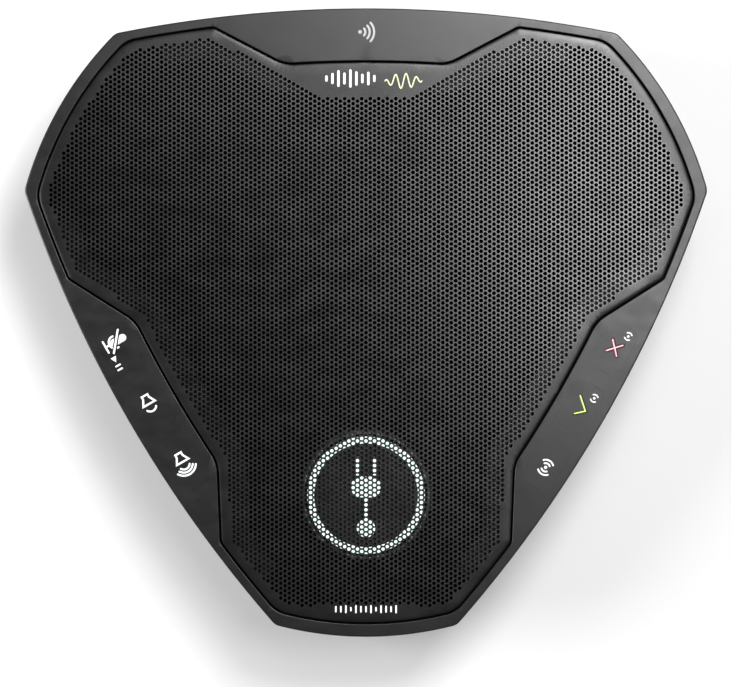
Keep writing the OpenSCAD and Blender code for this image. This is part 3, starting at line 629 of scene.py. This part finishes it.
# Bevels are given by their width and depth
HOLE_R = 0.42
HOLE_BEVEL = (0.1, 0.1)
PITCH = 1.234
COLUMN = PITCH * math.sqrt(3) / 2
BORDER = 2.85
SECTOR = 60
GRILLE_EDGE = 0.12
GRILLE_BEVEL = (0.5, 0.13)
GRILLE_SKIRT = 1.1
# Reach, gap and height of the near-black strips that paint shade into the groove and under the grille's
# edge
SHADE_STRIP_REACH = 80
SHADE_STRIP_GAP = 0.03
SHADE_STRIP_TOP = 0.4
# Plain fields for the marks: the rear one starts at a distance from the centre, over a half width,
# and slopes outwards by an angle beyond it. The front one starts at a height in the plan.
REAR_ZONE = (46.7, 11.3, 29.7)
FRONT_ZONE = (-70.9, 13)


def perforated_cells():
    """Middles of all hexagonal cells whose hole lies in the perforated field."""
    low, high = GRILLE_LOW[:2], GRILLE_HIGH[:2]
    columns = np.arange(-math.ceil(high[0] / COLUMN), math.ceil(high[0] / COLUMN) + 1)
    rows = np.arange(math.floor(low[1] / PITCH), math.ceil(high[1] / PITCH) + 1)
    cells = np.array([(i * COLUMN, (j + (i % 2) / 2) * PITCH) for i in columns for j in rows])
    cells = cells[inside(cells, [opening(BORDER)])]
    depth, half, slope = REAR_ZONE
    reach = np.maximum(np.abs(cells[:, 0]) - half, 0) * math.tan(math.radians(slope))
    free = cells[:, 1] - CENTRE[1] < depth + reach
    front, width = FRONT_ZONE
    free &= (cells[:, 1] > front) | (np.abs(cells[:, 0]) > width)
    return cells[free]


def circle(r, n=12):
    return arc([0, 0], r, 0, 360, n)


def numbered(points):
    """Points without repeats, and the number of each given point among them."""
    keys = np.round(points * 1000).astype(np.int64)
    _, first, number = np.unique(keys, axis=0, return_index=True, return_inverse=True)
    return points[first], number.ravel()


def once(edges):
    """The directed edges that no other face shares."""
    keys = np.sort(edges, axis=1)
    _, index, count = np.unique(keys, axis=0, return_index=True, return_counts=True)
    return edges[index[count == 1]]


def cell_edges(cells):
    """Corners of the cells without repeats, each cell's six corner numbers, and the outer edges."""
    hexagon = circle(PITCH / math.sqrt(3), 6)
    corners, number = numbered((cells[:, None] + hexagon[None]).reshape(-1, 2))
    number = number.reshape(-1, 6)
    edges = np.stack([number, np.roll(number, -1, axis=1)], axis=2).reshape(-1, 2)
    return corners, number, once(edges)


def loops_of(edges):
    """Directed edges chained into closed loops of point numbers."""
    after = dict(edges.tolist())
    loops = []
    while after:
        start, at = after.popitem()
        loop = [start]
        while at != start:
            loop.append(at)
            at = after.pop(at)
        loops.append(np.array(loop))
    return loops


def sector_shape(cells):
    """Perforated sheet over some of the cells, closed all round."""
    corners, number, outer = cell_edges(cells)
    shape = Shape()
    top = shape.ring(on_dome(corners))
    bottom = shape.ring(on_dome(corners, GRILLE_T))
    bevelled = circle(HOLE_R + HOLE_BEVEL[0])
    straight = circle(HOLE_R)
    rings = []
    for ring, drop in ((bevelled, 0), (straight, HOLE_BEVEL[1]), (straight, GRILLE_T)):
        points = (cells[:, None] + ring[None]).reshape(-1, 2)
        rings.append(shape.ring(on_dome(points, drop)).reshape(-1, 12))
    for corner, hole in ((top[number], rings[0]), (bottom[number], rings[2])):
        for i in range(6):
            j = (i + 1) % 6
            a, b, c = hole[:, 2 * i], hole[:, 2 * i + 1], hole[:, (2 * i + 2) % 12]
            shape.faces.append(np.column_stack([corner[:, i], corner[:, j], b]))
            shape.faces.append(np.column_stack([corner[:, i], b, a]))
            shape.faces.append(np.column_stack([corner[:, j], c, b]))
    for high, low in zip(rings, rings[1:]):
        quads = np.stack([high, np.roll(high, -1, axis=1), np.roll(low, -1, axis=1), low], axis=2)
        shape.faces.append(quads.reshape(-1, 4))
    shape.faces.append(np.column_stack([top[outer], bottom[outer[:, ::-1]]]))
    return shape


def flat_map(obj):
    """Texture map seen from above: faces that look up on one half, all others on the other."""
    mesh = obj.data
    layer = mesh.uv_layers.new(name="OFBake")
    corners = np.zeros(len(mesh.loops), dtype=np.int32)
    mesh.loops.foreach_get("vertex_index", corners)
    points = np.zeros(len(mesh.vertices) * 3, dtype=np.float32)
    mesh.vertices.foreach_get("co", points)
    points = points.reshape(-1, 3)[:, :2]
    low, high = points.min(axis=0), points.max(axis=0)
    place = (points[corners] - low) / (high - low).max()
    normals = np.zeros(len(mesh.polygons) * 3, dtype=np.float32)
    mesh.polygons.foreach_get("normal", normals)
    sizes = np.zeros(len(mesh.polygons), dtype=np.int32)
    mesh.polygons.foreach_get("loop_total", sizes)
    up = np.repeat(normals.reshape(-1, 3)[:, 2] > 0.5, sizes)
    place[:, 0] = place[:, 0] * 0.49 + np.where(up, 0.0, 0.505)
    place[:, 1] *= 0.98
    layer.data.foreach_set("uv", place.ravel())


def make_grille():
    cells = perforated_cells()
    angle = (np.degrees(np.arctan2(cells[:, 1] - CENTRE[1], cells[:, 0])) + SECTOR / 2) % 360
    for i in range(360 // SECTOR):
        own = cells[(angle // SECTOR).astype(int) == i]
        obj = mesh_object(f"grille_field_{i + 1}", sector_shape(own))
        flat_map(obj)
        shade(obj, 38, weighted=False)
        declare(obj, "grille_metal", stands_for="grille")
    make_grille_border(cells)


def make_grille_border(cells):
    """Plain border of the grille, with a rolled edge and a skirt that stands on the ledge."""
    corners, _, outer = cell_edges(cells)
    shape = Shape()
    wide, deep = GRILLE_BEVEL
    rolled = [on_dome(opening(GROOVE + GRILLE_EDGE * (1 - c)), deep + GRILLE_EDGE * (1 - s))
              for s, c in quarter(4)]
    side = shape.bands([
        on_dome(opening(GROOVE + GRILLE_SKIRT), GRILLE_T),
        at_height(opening(GROOVE + GRILLE_SKIRT), LEDGE_Z + 0.05),
        at_height(opening(GROOVE), LEDGE_Z + 0.05)] + rolled
        + [on_dome(opening(GROOVE + GRILLE_EDGE + wide))])
    inner = [shape.bands([on_dome(corners[loop]), on_dome(corners[loop], GRILLE_T)])
             for loop in loops_of(outer)]
    shape.fill([side[-1]] + [top for top, _ in inner], on_dome, 3)
    shape.fill([side[0]] + [bottom for _, bottom in inner])
    make_piece("grille_border", shape, "grille_metal", stands_for="grille", look="grille_edge",
               angle=25)


def make_painted_shade_strips():
    """Near-black foam laid on the ledge as painted shade: a cord in the groove round the grille that
    keeps the groove dark, and a strip under the grille's edge at each short side that keeps the holes
    over the ledge black."""
    inner, outer = opening(LEDGE_W - 0.1), opening(GROOVE + GRILLE_SKIRT + 0.1)
    n = len(outer)
    beside = np.linalg.norm(outer - CENTRE, axis=1) > SHADE_STRIP_REACH
    shape = Shape()
    low, high = LEDGE_Z + SHADE_STRIP_GAP, LEDGE_Z + SHADE_STRIP_TOP
    # The cord fills the groove with near-black foam: painted shade that keeps the groove dark.
    cord_in, cord_out = opening(GROOVE - SHADE_STRIP_GAP), opening(SHADE_STRIP_GAP)
    rings = shape.bands([at_height(cord_in, high), at_height(cord_in, low),
                         at_height(cord_out, low), at_height(cord_out, high)])
    shape.bridge(rings[-1], rings[0])
    # Strips on the ledge under the short sides: painted shade that keeps the holes over them black.
    for start in np.flatnonzero(beside & ~np.roll(beside, 1)):
        run = [start]
        while beside[(run[-1] + 1) % n]:
            run.append((run[-1] + 1) % n)
        prism(shape, np.vstack([outer[run], inner[run[::-1]]]), low, high)
    make_piece("painted_shade_strips", shape, "cloth")


# ---- keys and printed marks

PRINT_T = 0.03
LAYER_T = 0.002
KEY_FLANGE = 0.6
KEY_NECK = 1
KEY_STEM = 2.8
FLANGE_T = 0.85


def make_key(name):
    """Flush key plate with its flange and stem, on the body that the CAD's key is."""
    k, u = KEYS[name]
    low, _ = box_mm(name)
    grown = KEY_GAP - SEAM * 1.5
    plate = on_wing(round_rect(KEY_W + 2 * grown, KEY_D + 2 * grown, KEY_R + grown), k, u, KEY_V)
    flange = on_wing(round_rect(KEY_W + 2 * KEY_FLANGE, KEY_D + 2 * KEY_FLANGE, KEY_R + KEY_FLANGE),
                     k, u, KEY_V)
    neck = on_wing(round_rect(KEY_W - 2 * KEY_NECK, KEY_D - 2 * KEY_NECK, KEY_R), k, u, KEY_V)
    stem = on_wing(round_rect(KEY_STEM, KEY_STEM, KEY_STEM / 2 - 0.001), k, u, KEY_V)
    shape = Shape()
    top = POCKET_Z - 0.1
    under = top - FLANGE_T
    rings = shape.bands([
        at_height(stem, low[2]), at_height(stem, under), at_height(neck, under),
        at_height(flange, under), at_height(flange, top), at_height(plate, top), on_dome(plate)])
    shape.cap(rings[0])
    shape.fill([rings[-1]], on_dome, 2.5)
    make_piece(name.replace("key", "keycap", 1), shape, "key_plastic", name, name)


def ribbon(path, width, closed=False):
    """Outline of a stroke of that width along a path, with round ends, or two loops if closed."""
    p = np.asarray(path, dtype=float)
    ahead = np.roll(p, -1, axis=0) - p
    if not closed:
        ahead[-1] = ahead[-2]
    ahead /= np.linalg.norm(ahead, axis=1)[:, None]
    behind = np.roll(ahead, 1, axis=0)
    if not closed:
        behind[0] = ahead[0]
    normal = behind[:, ::-1] * [-1, 1]
    mitre = normal + ahead[:, ::-1] * [-1, 1]
    mitre /= (mitre * normal).sum(axis=1)[:, None]
    half = width / 2
    left, right = p + half * mitre, p - half * mitre
    if closed:
        return left, right
    start, end = degrees_of(*-ahead[0]), degrees_of(*behind[-1])
    return np.vstack([
        right, arc(p[-1], half, end - 90, end + 90, 6)[1:], left[::-1],
        arc(p[0], half, start - 90, start + 90, 6)[1:]])


class Mark:
    """A printed mark drawn about a place: x to the reader's right, y up, in thin solids. A later
    layer lies over an earlier one."""

    def __init__(self, place, layer=0):
        self.place = place
        self.shape = Shape()
        self.layer = layer

    def solid(self, loops):
        """Adds a thin solid between loops. Each next one is a hair thicker, so none share a face."""
        self.layer += 1
        rise = PRINT_T + LAYER_T * self.layer
        self.shape.plate([self.place(loop) for loop in loops], lambda p: on_dome(p, -rise),
                         lambda p: on_dome(p, PRINT_T))

    def line(self, path, width):
        self.solid([ribbon(path, width)])

    def loop(self, path, width):
        self.solid(ribbon(path, width, closed=True))

    def curve(self, centre, r, start, end, width):
        self.line(arc(centre, r, start, end, 14, to_end=True), width)

    def dot(self, centre, r):
        self.solid([circle(r, 24) + centre])

    def finish(self, name, look, body=HOUSING, slot="key_plastic"):
        declare(mesh_object(name, self.shape), slot, body, look=look)


def wing_place(k, u, v):
    """Places marks on wing k about (u, v), to be read from outside with the centre ahead."""
    return lambda points: on_wing(-np.asarray(points), k, u, v)


def flat_place(x, y):
    """Places marks about (x, y) of the top, to be read from the front."""
    return lambda points: np.asarray(points) + [x, y]


LINE = 0.48


def draw_radio(mark, at, rings):
    """Dot with arcs on both sides."""
    mark.dot(at, 0.24 + 0.08 * rings)
    for i in range(rings):
        for side in (0, 180):
            mark.curve(at, 0.82 + 0.12 * rings + 0.88 * i, side - 46, side + 46, 0.26 + 0.08 * rings)


def draw_speaker(mark, arcs):
    mark.loop([(-3.25, -1.05), (-2.5, -1.05), (-0.9, -1.95), (-0.9, 1.47), (-2.5, 0.57),
               (-3.25, 0.57)], LINE)
    for i in range(arcs):
        mark.curve((-0.4, -0.24), 1.5 + 0.78 * i, -58, 58, LINE)


def draw_microphone(mark):
    """Struck-out microphone about the middle of its base, then play and pause signs."""
    mark.solid([round_rect(1.87, 4.4, 0.934) + [0, 3.6]])
    mark.curve((0, 2.65), 1.57, 172, 368, LINE)
    mark.line([(0, 0.1), (0, 0.9)], LINE)
    mark.line([(-1.55, 0), (1.55, 0)], LINE)
    mark.solid([np.array([(3.05, -0.36), (4.6, 0.4), (3.05, 1.16)])])
    for x in (5.46, 6.55):
        mark.line([(x, -0.15), (x, 0.95)], 0.45)


def make_key_marks():
    """The six keys' marks, each on its key's body."""
    def mark_on(name, shift_u=0.0, shift_v=0.0, layer=0):
        k, u = KEYS[name]
        return Mark(wing_place(k, u + shift_u, KEY_V + shift_v), layer)

    # The keys' inks glow a little through their materials: painted glow that keeps the marks bright.
    mute = mark_on("key_mute", 1.8, 2.6)
    draw_microphone(mute)
    mute.finish("mark_mute", "white_print_painted_glow", "key_mute")
    slash = ((-2.35, 4.85), (2.3, 1.05))
    for piece, layer, width, look in (("mark_mute_gap", 10, 1.15, "key_plastic"),
                                      ("mark_mute_stroke", 14, LINE, "white_print_painted_glow")):
        mark = mark_on("key_mute", 1.8, 2.6, layer)
        mark.line(slash, width)
        mark.finish(piece, look, "key_mute")
    for name, arcs in (("key_volume_down", 1), ("key_volume_up", 3)):
        mark = mark_on(name)
        draw_speaker(mark, arcs)
        mark.finish(name.replace("key", "mark"), "white_print_painted_glow", name)
    cross = (((-1.6, -1.48), (1.6, 1.48)), ((1.6, -1.48), (-1.6, 1.48)))
    tick = (((-2.22, 0.31), (-0.35, -1.73), (2.39, 1.36)),)
    for name, lines, shift, colour in (("key_hang_up", cross, (-0.25, 0.17), "red"),
                                       ("key_answer", tick, (0, 0), "green")):
        mark = mark_on(name, *shift, layer=6)
        # Under each red or green mark lies a wider, darker stroke of its colour with a faint emission:
        # painted glow round the mark.
        under = mark_on(name, *shift)
        for line in lines:
            mark.line(line, 0.33)
            under.line(line, 0.95)
        mark.finish(name.replace("key", "mark"), colour + "_print", name)
        under.finish(name.replace("key", "halo"), colour + "_halo", name)
    for name, at in (("key_hang_up", (4.45, -1.7)), ("key_answer", (3.55, -2.05))):
        small = mark_on(name)
        draw_radio(small, at, 1)
        small.finish(name.replace("key", "link"), "white_print_painted_glow", name)
    radio = mark_on("key_wireless")
    draw_radio(radio, (-0.75, -0.15), 2)
    radio.finish("mark_wireless", "white_print_painted_glow", "key_wireless")


def make_top_marks():
    """Marks that stay put: contactless spot, two plain ornaments and a level mark."""
    # These marks' inks glow a little: painted glow, with no lamp behind them.
    spot = Mark(flat_place(0.45, CENTRE[1] + KEY_V + 0.9))
    spot.dot((-1.9, 0), 0.5)
    for r in (1.3, 2.4, 3.5):
        spot.curve((-1.9, 0), r, -42, 42, 0.55)
    spot.finish("mark_contactless", "grey_print_painted_glow", slot="frame_plastic")
    bars = Mark(flat_place(-3.9, CENTRE[1] + 51.2))
    for i, half in enumerate((0.5, 1.1, 1.8, 1.2, 2.0, 1.5, 0.9, 1.4, 0.6)):
        x = (i - 4) * 1.5
        bars.line([(x, -half), (x, half)], 0.62)
    bars.finish("mark_bars", "white_print_painted_glow", slot="grille_metal")
    wave = Mark(flat_place(9.4, CENTRE[1] + 50.6))
    x = np.linspace(-4.6, 4.6, 48)
    fade = np.cos(x / 4.6 * math.pi / 2) ** 0.7
    wave.line(np.column_stack([x, 1.9 * fade * np.sin(x * 2.4)]), 0.34)
    wave.finish("mark_wave", "pale_print_painted_glow", slot="grille_metal")
    level = Mark(flat_place(0, CENTRE[1] - 81.9))
    for i in range(13):
        x = (i - 6) * 1.26
        half = 0.35 + 0.5 * abs(math.sin(i * 1.9 + 0.6))
        level.line([(x, -half), (x, half)], 0.4)
    level.finish("mark_level", "white_print_painted_glow", slot="grille_metal")


# ---- display

# The lit ring's radii, and the width and height of the diffuser's collar
RING = (14.75, 13.05)
COLLAR = (2, 1.4)
FILM_T = 0.04
DIFFUSER_DROP = GRILLE_T + 0.3


def display_film(name, areas, slot, look, lift):
    """Thin film over the diffuser. Each area lies between its loops."""
    drop = DIFFUSER_DROP - lift
    shape = Shape()
    for loops in areas:
        shape.plate([loop + DISPLAY[:2] for loop in loops], lambda p: on_dome(p, drop),
                    lambda p: on_dome(p, drop + FILM_T), 3)
    declare(mesh_object(name, shape), slot, look=look)


def make_display():
    """Diffuser under the grille, its black mask, and the lit ring and plug behind the holes."""
    low, high = box_mm("display_light_guide")
    collar = (high[0] - low[0]) / 2
    collar_w, collar_t = COLLAR
    r = collar - collar_w
    edge = 0.3
    wide, narrow, top = (circle(size, 96) + DISPLAY[:2] for size in (collar, r, r - edge))
    shape = Shape()
    rings = shape.bands([
        at_height(wide, low[2]), at_height(wide, low[2] + collar_t),
        at_height(narrow, low[2] + collar_t), on_dome(narrow, DIFFUSER_DROP + edge),
        on_dome(top, DIFFUSER_DROP)])
    shape.cap(rings[0])
    shape.fill([rings[-1]], lambda p: on_dome(p, DIFFUSER_DROP), 3)
    make_piece("display_diffuser", shape, "light_guide", stands_for="display_light_guide")
    display_film("display_mask", [[circle(r - 0.5, 96)]], "light_guide", "chip_resin", 0.06)
    plug = [[round_rect(w, d, corner) + [x, y]] for w, d, corner, x, y in (
        (7.4, 5.2, 2.4, 0, 2.1), (1.3, 4.6, 0.6, -2.14, 7.3), (1.3, 4.6, 0.6, 2.14, 7.3),
        (1.3, 7.6, 0.6, 0, -4.6))]
    plug.append([circle(2.3, 32) + [0, -8.3]])
    display_film("display_glyph", plug, "lamps", "glyph_light", 0.14)
    display_film("display_ring", [[circle(r, 96) for r in RING]], "lamps", "glyph_light", 0.14)


# ---- bottom

SEAM_EDGE = 0.25
LIP_IN = SKIRT_WALL + 1.5
LIP_OUT = SKIRT_WALL + 0.3
LIP_TOP = SPLIT_Z + 1.4
LIP_EDGE = 0.2
LIP_ROOT = SHELL_TOP - 2.1
# A foot's outer and inner radius about the centre, half width and corner
FOOT = (64, 56, 15, 2.4)
FOOT_EDGE = 0.35
FOOT_SUNK = 0.8
# The socket bay's width, height and middle height
BAY = (50, 11.8, 13.5)
BAY_Y = 71.4
BAY_WALL = 2
HOLE_FLARE = 0.25
PART_GAP = 0.15
DOOR_SUNK = 1.3
# The label field's width, depth and corner, and its middle
LABEL = (52, 24, 2)
LABEL_PLACE = (0, 26)
LABEL_SUNK = 0.3
SCREW_WELL_R = 2.6


def shell_rings(wall, top_z):
    """Rings of the shell's side, a quarter ellipse from the underside to the joint line."""
    rings = []
    for s, c in quarter(20):
        inset = BASE_INSET - (BASE_INSET - SHELL_EDGE - wall) * s
        z = SHELL_TOP - (SHELL_TOP - BASE_Z - wall) * c
        rings.append(at_height(outline(inset, CORNER_R + inset * 0.3), z))
    rings[-1][:, 2] = top_z
    return rings


def make_bottom_shell():
    shape = Shape()
    lip = [at_height(outline(inset), z) for inset, z in (
        (SHELL_EDGE + SEAM_EDGE, SHELL_TOP), (LIP_OUT, SHELL_TOP), (LIP_OUT, LIP_TOP - LIP_EDGE),
        (LIP_OUT + LIP_EDGE, LIP_TOP), (LIP_IN, LIP_TOP), (LIP_IN, LIP_ROOT))]
    outside = shell_rings(0, SHELL_TOP - SEAM_EDGE)
    inside_rings = shell_rings(SHELL_WALL, LIP_ROOT)
    rings = shape.bands(outside + lip + inside_rings[::-1])
    shape.fill([rings[0]], lambda p: at_height(p, BASE_Z), 8)
    shape.fill([rings[-1]], lambda p: at_height(p, BASE_Z + SHELL_WALL), 8)
    obj = mesh_object("lower_casing", shape)
    cut(obj, mesh_object("cutter", shell_cutters()))
    shade(obj, 28)
    declare(obj, "shell_plastic", stands_for="bottom_shell")


def foot_outline(k, grow):
    """Bean-shaped foot under lobe k, between two arcs about the centre of symmetry."""
    r_out, r_in, half, corner = FOOT
    far, near = r_out + grow - corner, r_in - grow + corner
    a_out, a_in = (math.degrees(math.asin((half + grow - corner) / r)) for r in (far, near))

    def end(r, side, start, stop, n):
        """Corner arc whose centre is on radius r, side degrees from straight down."""
        a = math.radians(side)
        return arc([r * math.sin(a), -r * math.cos(a)], corner, start, stop, n)

    points = np.vstack([
        arc([0, 0], r_out + grow, 270 - a_out, 270 + a_out, 20),
        end(far, a_out, 270 + a_out, 360, 6),
        end(near, a_in, 0, 90 + a_in, 8),
        arc([0, 0], r_in - grow, 270 + a_in, 270 - a_in, 16),
        end(near, -a_in, 90 - a_in, 180, 8),
        end(far, -a_out, 180, 270 - a_out, 6),
    ])
    return turned(points, wing_of(k)) + CENTRE


def along_y(points, y):
    """Flat outline (x, z) placed in the upright plane at y."""
    p = np.asarray(points)
    return np.column_stack([p[:, 0], np.full(len(p), y), p[:, 1]])


def boss_places():
    """Middles of the four housing screws."""
    mesh = frame["nodes"]["housing_screws"].data
    points = np.array([v.co[:2] for v in mesh.vertices]) / MM
    places = []
    for p in points:
        if all(np.hypot(*(p - q)) > 8 for q in places):
            near = points[np.hypot(*(points - p).T) < 8]
            places.append((near.min(axis=0) + near.max(axis=0)) / 2)
    return places


def shell_cutters():
    """Socket bay, hollows for the feet, the battery door and the label, and wells for the screws."""
    shape = Shape()
    width, tall, mid_z = BAY
    prism(shape, round_rect(width, tall, 1.6) + [0, mid_z], BAY_Y, BAY_Y + 20, along_y)
    under = BASE_Z - 1
    for k in range(3):
        prism(shape, foot_outline(k, PART_GAP), under, BASE_Z + FOOT_SUNK)
    low, high = box_mm("battery_door")
    width, depth = (high - low)[:2] + 2 * PART_GAP
    prism(shape, round_rect(width, depth, 2) + middle("battery_door")[:2], under, BASE_Z + DOOR_SUNK)
    prism(shape, round_rect(*LABEL) + LABEL_PLACE, under, BASE_Z + LABEL_SUNK)
    for place in boss_places():
        prism(shape, circle(SCREW_WELL_R, 40) + place, -1, 6)
    return shape


def make_bay_wall():
    """Wall behind the socket bay, with its three holes."""
    usb_low, usb_high = box_mm("usb_socket")
    jack = middle("headset_socket")
    power = middle("power_button")
    width, tall, mid_z = BAY
    shape = Shape()
    outer = round_rect(width + 3, tall + 2.4, 2.8) + [0, mid_z]
    usb = (usb_low + usb_high) / 2
    usb_w, _, usb_h = usb_high - usb_low + 0.24
    holes = [
        round_rect(usb_w, usb_h, 1.32) + usb[[0, 2]],
        circle(3.0, 48) + [jack[0], box_mm("headset_socket")[1][2] - 2.9],
        round_rect(6.74, 2.84, 1.4) + power[[0, 2]],
    ]
    fronts, backs = [], []
    back, front = BAY_Y - BAY_WALL, BAY_Y
    for loop, flare in [(outer, 0)] + [(hole, HOLE_FLARE) for hole in holes]:
        mid = loop.mean(axis=0)
        wide = mid + (loop - mid) * (1 + flare / np.abs(loop - mid).max())
        rings = shape.bands([along_y(loop, back), along_y(loop, front - flare),
                             along_y(wide, front)])
        backs.append(rings[0])
        fronts.append(rings[-1])
    upright_fill(shape, fronts)
    upright_fill(shape, backs)
    make_piece("socket_wall", shape, "shell_plastic", stands_for="bottom_shell")


def upright_fill(shape, rings):
    """Fills between rings that lie in one upright plane, laid flat for the while."""
    shape.points = shape.points[:, [0, 2, 1]]
    shape.fill(rings)
    shape.points = shape.points[:, [0, 2, 1]]


def make_feet():
    low, high = box_mm("rubber_feet")
    shape = Shape()
    for k in range(3):
        rings = [at_height(foot_outline(k, -FOOT_EDGE * (1 - s)), low[2] + FOOT_EDGE * (1 - c))
                 for s, c in quarter(5)]
        rings.append(at_height(foot_outline(k, 0), high[2]))
        rings = shape.bands(rings)
        shape.fill([rings[0]])
        shape.fill([rings[-1]])
    make_piece("foot_pads", shape, "rubber", stands_for="rubber_feet")


def make_battery_door():
    low, high = box_mm("battery_door")
    mid = (low + high) / 2
    width, depth = (high - low)[:2]
    corner, edge, head_r, shank_r = 1.85, 0.3, 1.5, 0.95
    screw_x = box_mm("door_screws")[1][0] - 1.35
    shape = Shape()
    outer = []
    for shrink, z in [(edge * (1 - s), low[2] + edge * (1 - c)) for s, c in quarter(4)] + [(0, high[2])]:
        outer.append(at_height(round_rect(width - 2 * shrink, depth - 2 * shrink, corner - shrink)
                               + mid[:2], z))
    rings = shape.bands(outer)
    unders, tops = [rings[0]], [rings[-1]]
    for side in (-1, 1):
        here = [side * screw_x, mid[1]]
        hole = shape.bands([at_height(circle(r, 40) + here, z) for r, z in (
            (head_r + 0.15, low[2]), (head_r, low[2] + 0.15), (head_r, low[2] + 0.6),
            (shank_r, low[2] + 0.6), (shank_r, high[2]))])
        unders.append(hole[0])
        tops.append(hole[-1])
    for i in range(5):
        here = [0, mid[1] - depth / 2 + 2.4 + 1.3 * i]
        slot_w = 12 - 1.2 * abs(i - 2)
        groove = shape.bands([
            at_height(round_rect(slot_w, 0.8, 0.399) + here, low[2]),
            at_height(round_rect(slot_w - 0.3, 0.5, 0.249) + here, low[2] + 0.35)])
        unders.append(groove[0])
        shape.cap(groove[1])
    shape.fill(unders, lambda p: at_height(p, low[2]), 6)
    shape.fill(tops)
    make_piece("battery_cover", shape, "shell_plastic", stands_for="battery_door")


def make_power_button():
    """Rear button with its flange, and the printed sign on its face."""
    low, high = box_mm("power_button")
    mid = ((low + high) / 2)[[0, 2]]
    width, _, tall = high - low
    cap_w, cap_h, edge = width - 1.4, tall - 0.8, 0.25
    face, shoulder = high[1], low[1] + 0.8
    flange = round_rect(width, tall, 0.5) + mid
    shape = Shape()
    rings = [along_y(flange, low[1]), along_y(flange, shoulder)]
    for shrink, y in [(0, shoulder)] + [(edge * (1 - c), face - edge * (1 - s)) for s, c in quarter(5)]:
        cap = round_rect(cap_w - 2 * shrink, cap_h - 2 * shrink, cap_h / 2 - 0.05 - shrink)
        rings.append(along_y(cap + mid, y))
    rings = shape.bands(rings)
    shape.cap(rings[0])
    shape.cap(rings[-1])
    make_piece("power_cap", shape, "key_plastic", "power_button", "power_button")
    sign = Shape()
    for path in (arc((0, 0), 0.75, 125, 415, 24, to_end=True), [(0, 0.25), (0, 1.0)]):
        place = ribbon(path, 0.2) + mid
        back, front = sign.bands([along_y(place, face - 0.02), along_y(place, face + 0.02)])
        sign.cap(back)
        upright_fill(sign, [front])
    # The sign's white ink glows a little: painted glow.
    declare(mesh_object("mark_power", sign), "key_plastic", "power_button", look="white_print_painted_glow")


# ---- CAD nodes that stay


def finish_cad_nodes():
    """Gives every CAD node that is still shown its slot's procedural material."""
    slots = {s["node"]: s["material_slot"] for s in frame["record"]["subparts"]}
    for name, node in frame["nodes"].items():
        node.data.materials.clear()
        node.data.materials.append(MATERIALS[slots[name]])


# ---- stage, light and camera


def make_stage():
    """Matt floor that stays white under the lights."""
    half = 3
    mesh = bpy.data.meshes.new("floor")
    mesh.from_pydata([(-half, -half, 0), (half, -half, 0), (half, half, 0), (-half, half, 0)],
                     [], [(0, 1, 2, 3)])
    floor = bpy.data.objects.new("floor", mesh)
    bpy.context.collection.objects.link(floor)
    n = Nodes("floor_paper")
    n.look(n.colours(n.noise(60), (0.69, 0.69, 0.69), (0.71, 0.71, 0.71)),
           n.spread(n.noise(3), 0.8, 0.9))
    n.glow((1, 1, 1), 0.15)
    floor.data.materials.append(MATERIALS["floor_paper"])


def area_light(name, azimuth, elevation, distance, size, radiance):
    """Round light that aims at the top's middle. The angles are in degrees, and the azimuth is
    counted from +X towards +Y."""
    a, e = math.radians(azimuth), math.radians(elevation)
    away = Vector((math.cos(a) * math.cos(e), math.sin(a) * math.cos(e), math.sin(e)))
    light = bpy.data.lights.new(name, "AREA")
    light.shape = "DISK"
    light.size = size
    light.energy = radiance * math.pi * math.pi * (size / 2) ** 2
    obj = bpy.data.objects.new(name, light)
    obj.location = Vector((0, 0, HEIGHT * MM)) + away * distance
    obj.rotation_mode = "QUATERNION"
    obj.rotation_quaternion = away.to_track_quat("Z", "Y")
    obj.visible_camera = False
    bpy.context.collection.objects.link(obj)


def make_light():
    scene = bpy.context.scene
    world = bpy.data.worlds.new("studio")
    scene.world = world
    world.use_nodes = True
    put(world.node_tree.nodes["Background"], Color=(1, 1, 1, 1), Strength=0.1)
    scene.view_settings.view_transform = "Standard"
    for name, azimuth, elevation, distance, size, radiance in (
            ("key_light", 60, 58, 0.8, 0.32, 21.7), ("top_light", 15, 73, 0.8, 0.27, 9.5),
            ("rear_light", 98, 70, 0.8, 0.27, 2.4), ("fill_light", 180, 30, 0.9, 0.5, 11.5)):
        area_light(name, azimuth, elevation, distance, size, radiance)


def make_camera():
    """Straight above on a long lens. The body's width fills 92.8% of the image, and its middle lies
    3% of the image's height above the image's middle."""
    low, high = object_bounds()
    width_share, raise_share, image_w, image_h = 0.928, 0.03, 732, 687
    lens, sensor = 180.0, 36.0
    view_w = (high.x - low.x) / width_share
    widest_z = LEDGE_LOW * MM
    distance = view_w * lens / sensor
    data = bpy.data.cameras.new("camera")
    data.lens = lens
    data.sensor_width = sensor
    data.clip_end = 20
    camera = bpy.data.objects.new("camera", data)
    shift = raise_share * view_w * image_h / image_w
    camera.location = ((low.x + high.x) / 2, (low.y + high.y) / 2 - shift, widest_z + distance)
    camera.rotation_euler = (0, 0, 0)
    bpy.context.collection.objects.link(camera)
    bpy.context.scene.camera = camera


make_camera()
finish_cad_nodes()
make_top_frame()
make_grille()
make_painted_shade_strips()
for key in KEYS:
    make_key(key)
make_key_marks()
make_top_marks()
make_display()
make_bottom_shell()
make_bay_wall()
make_feet()
make_battery_door()
make_power_button()
make_stage()
make_light()
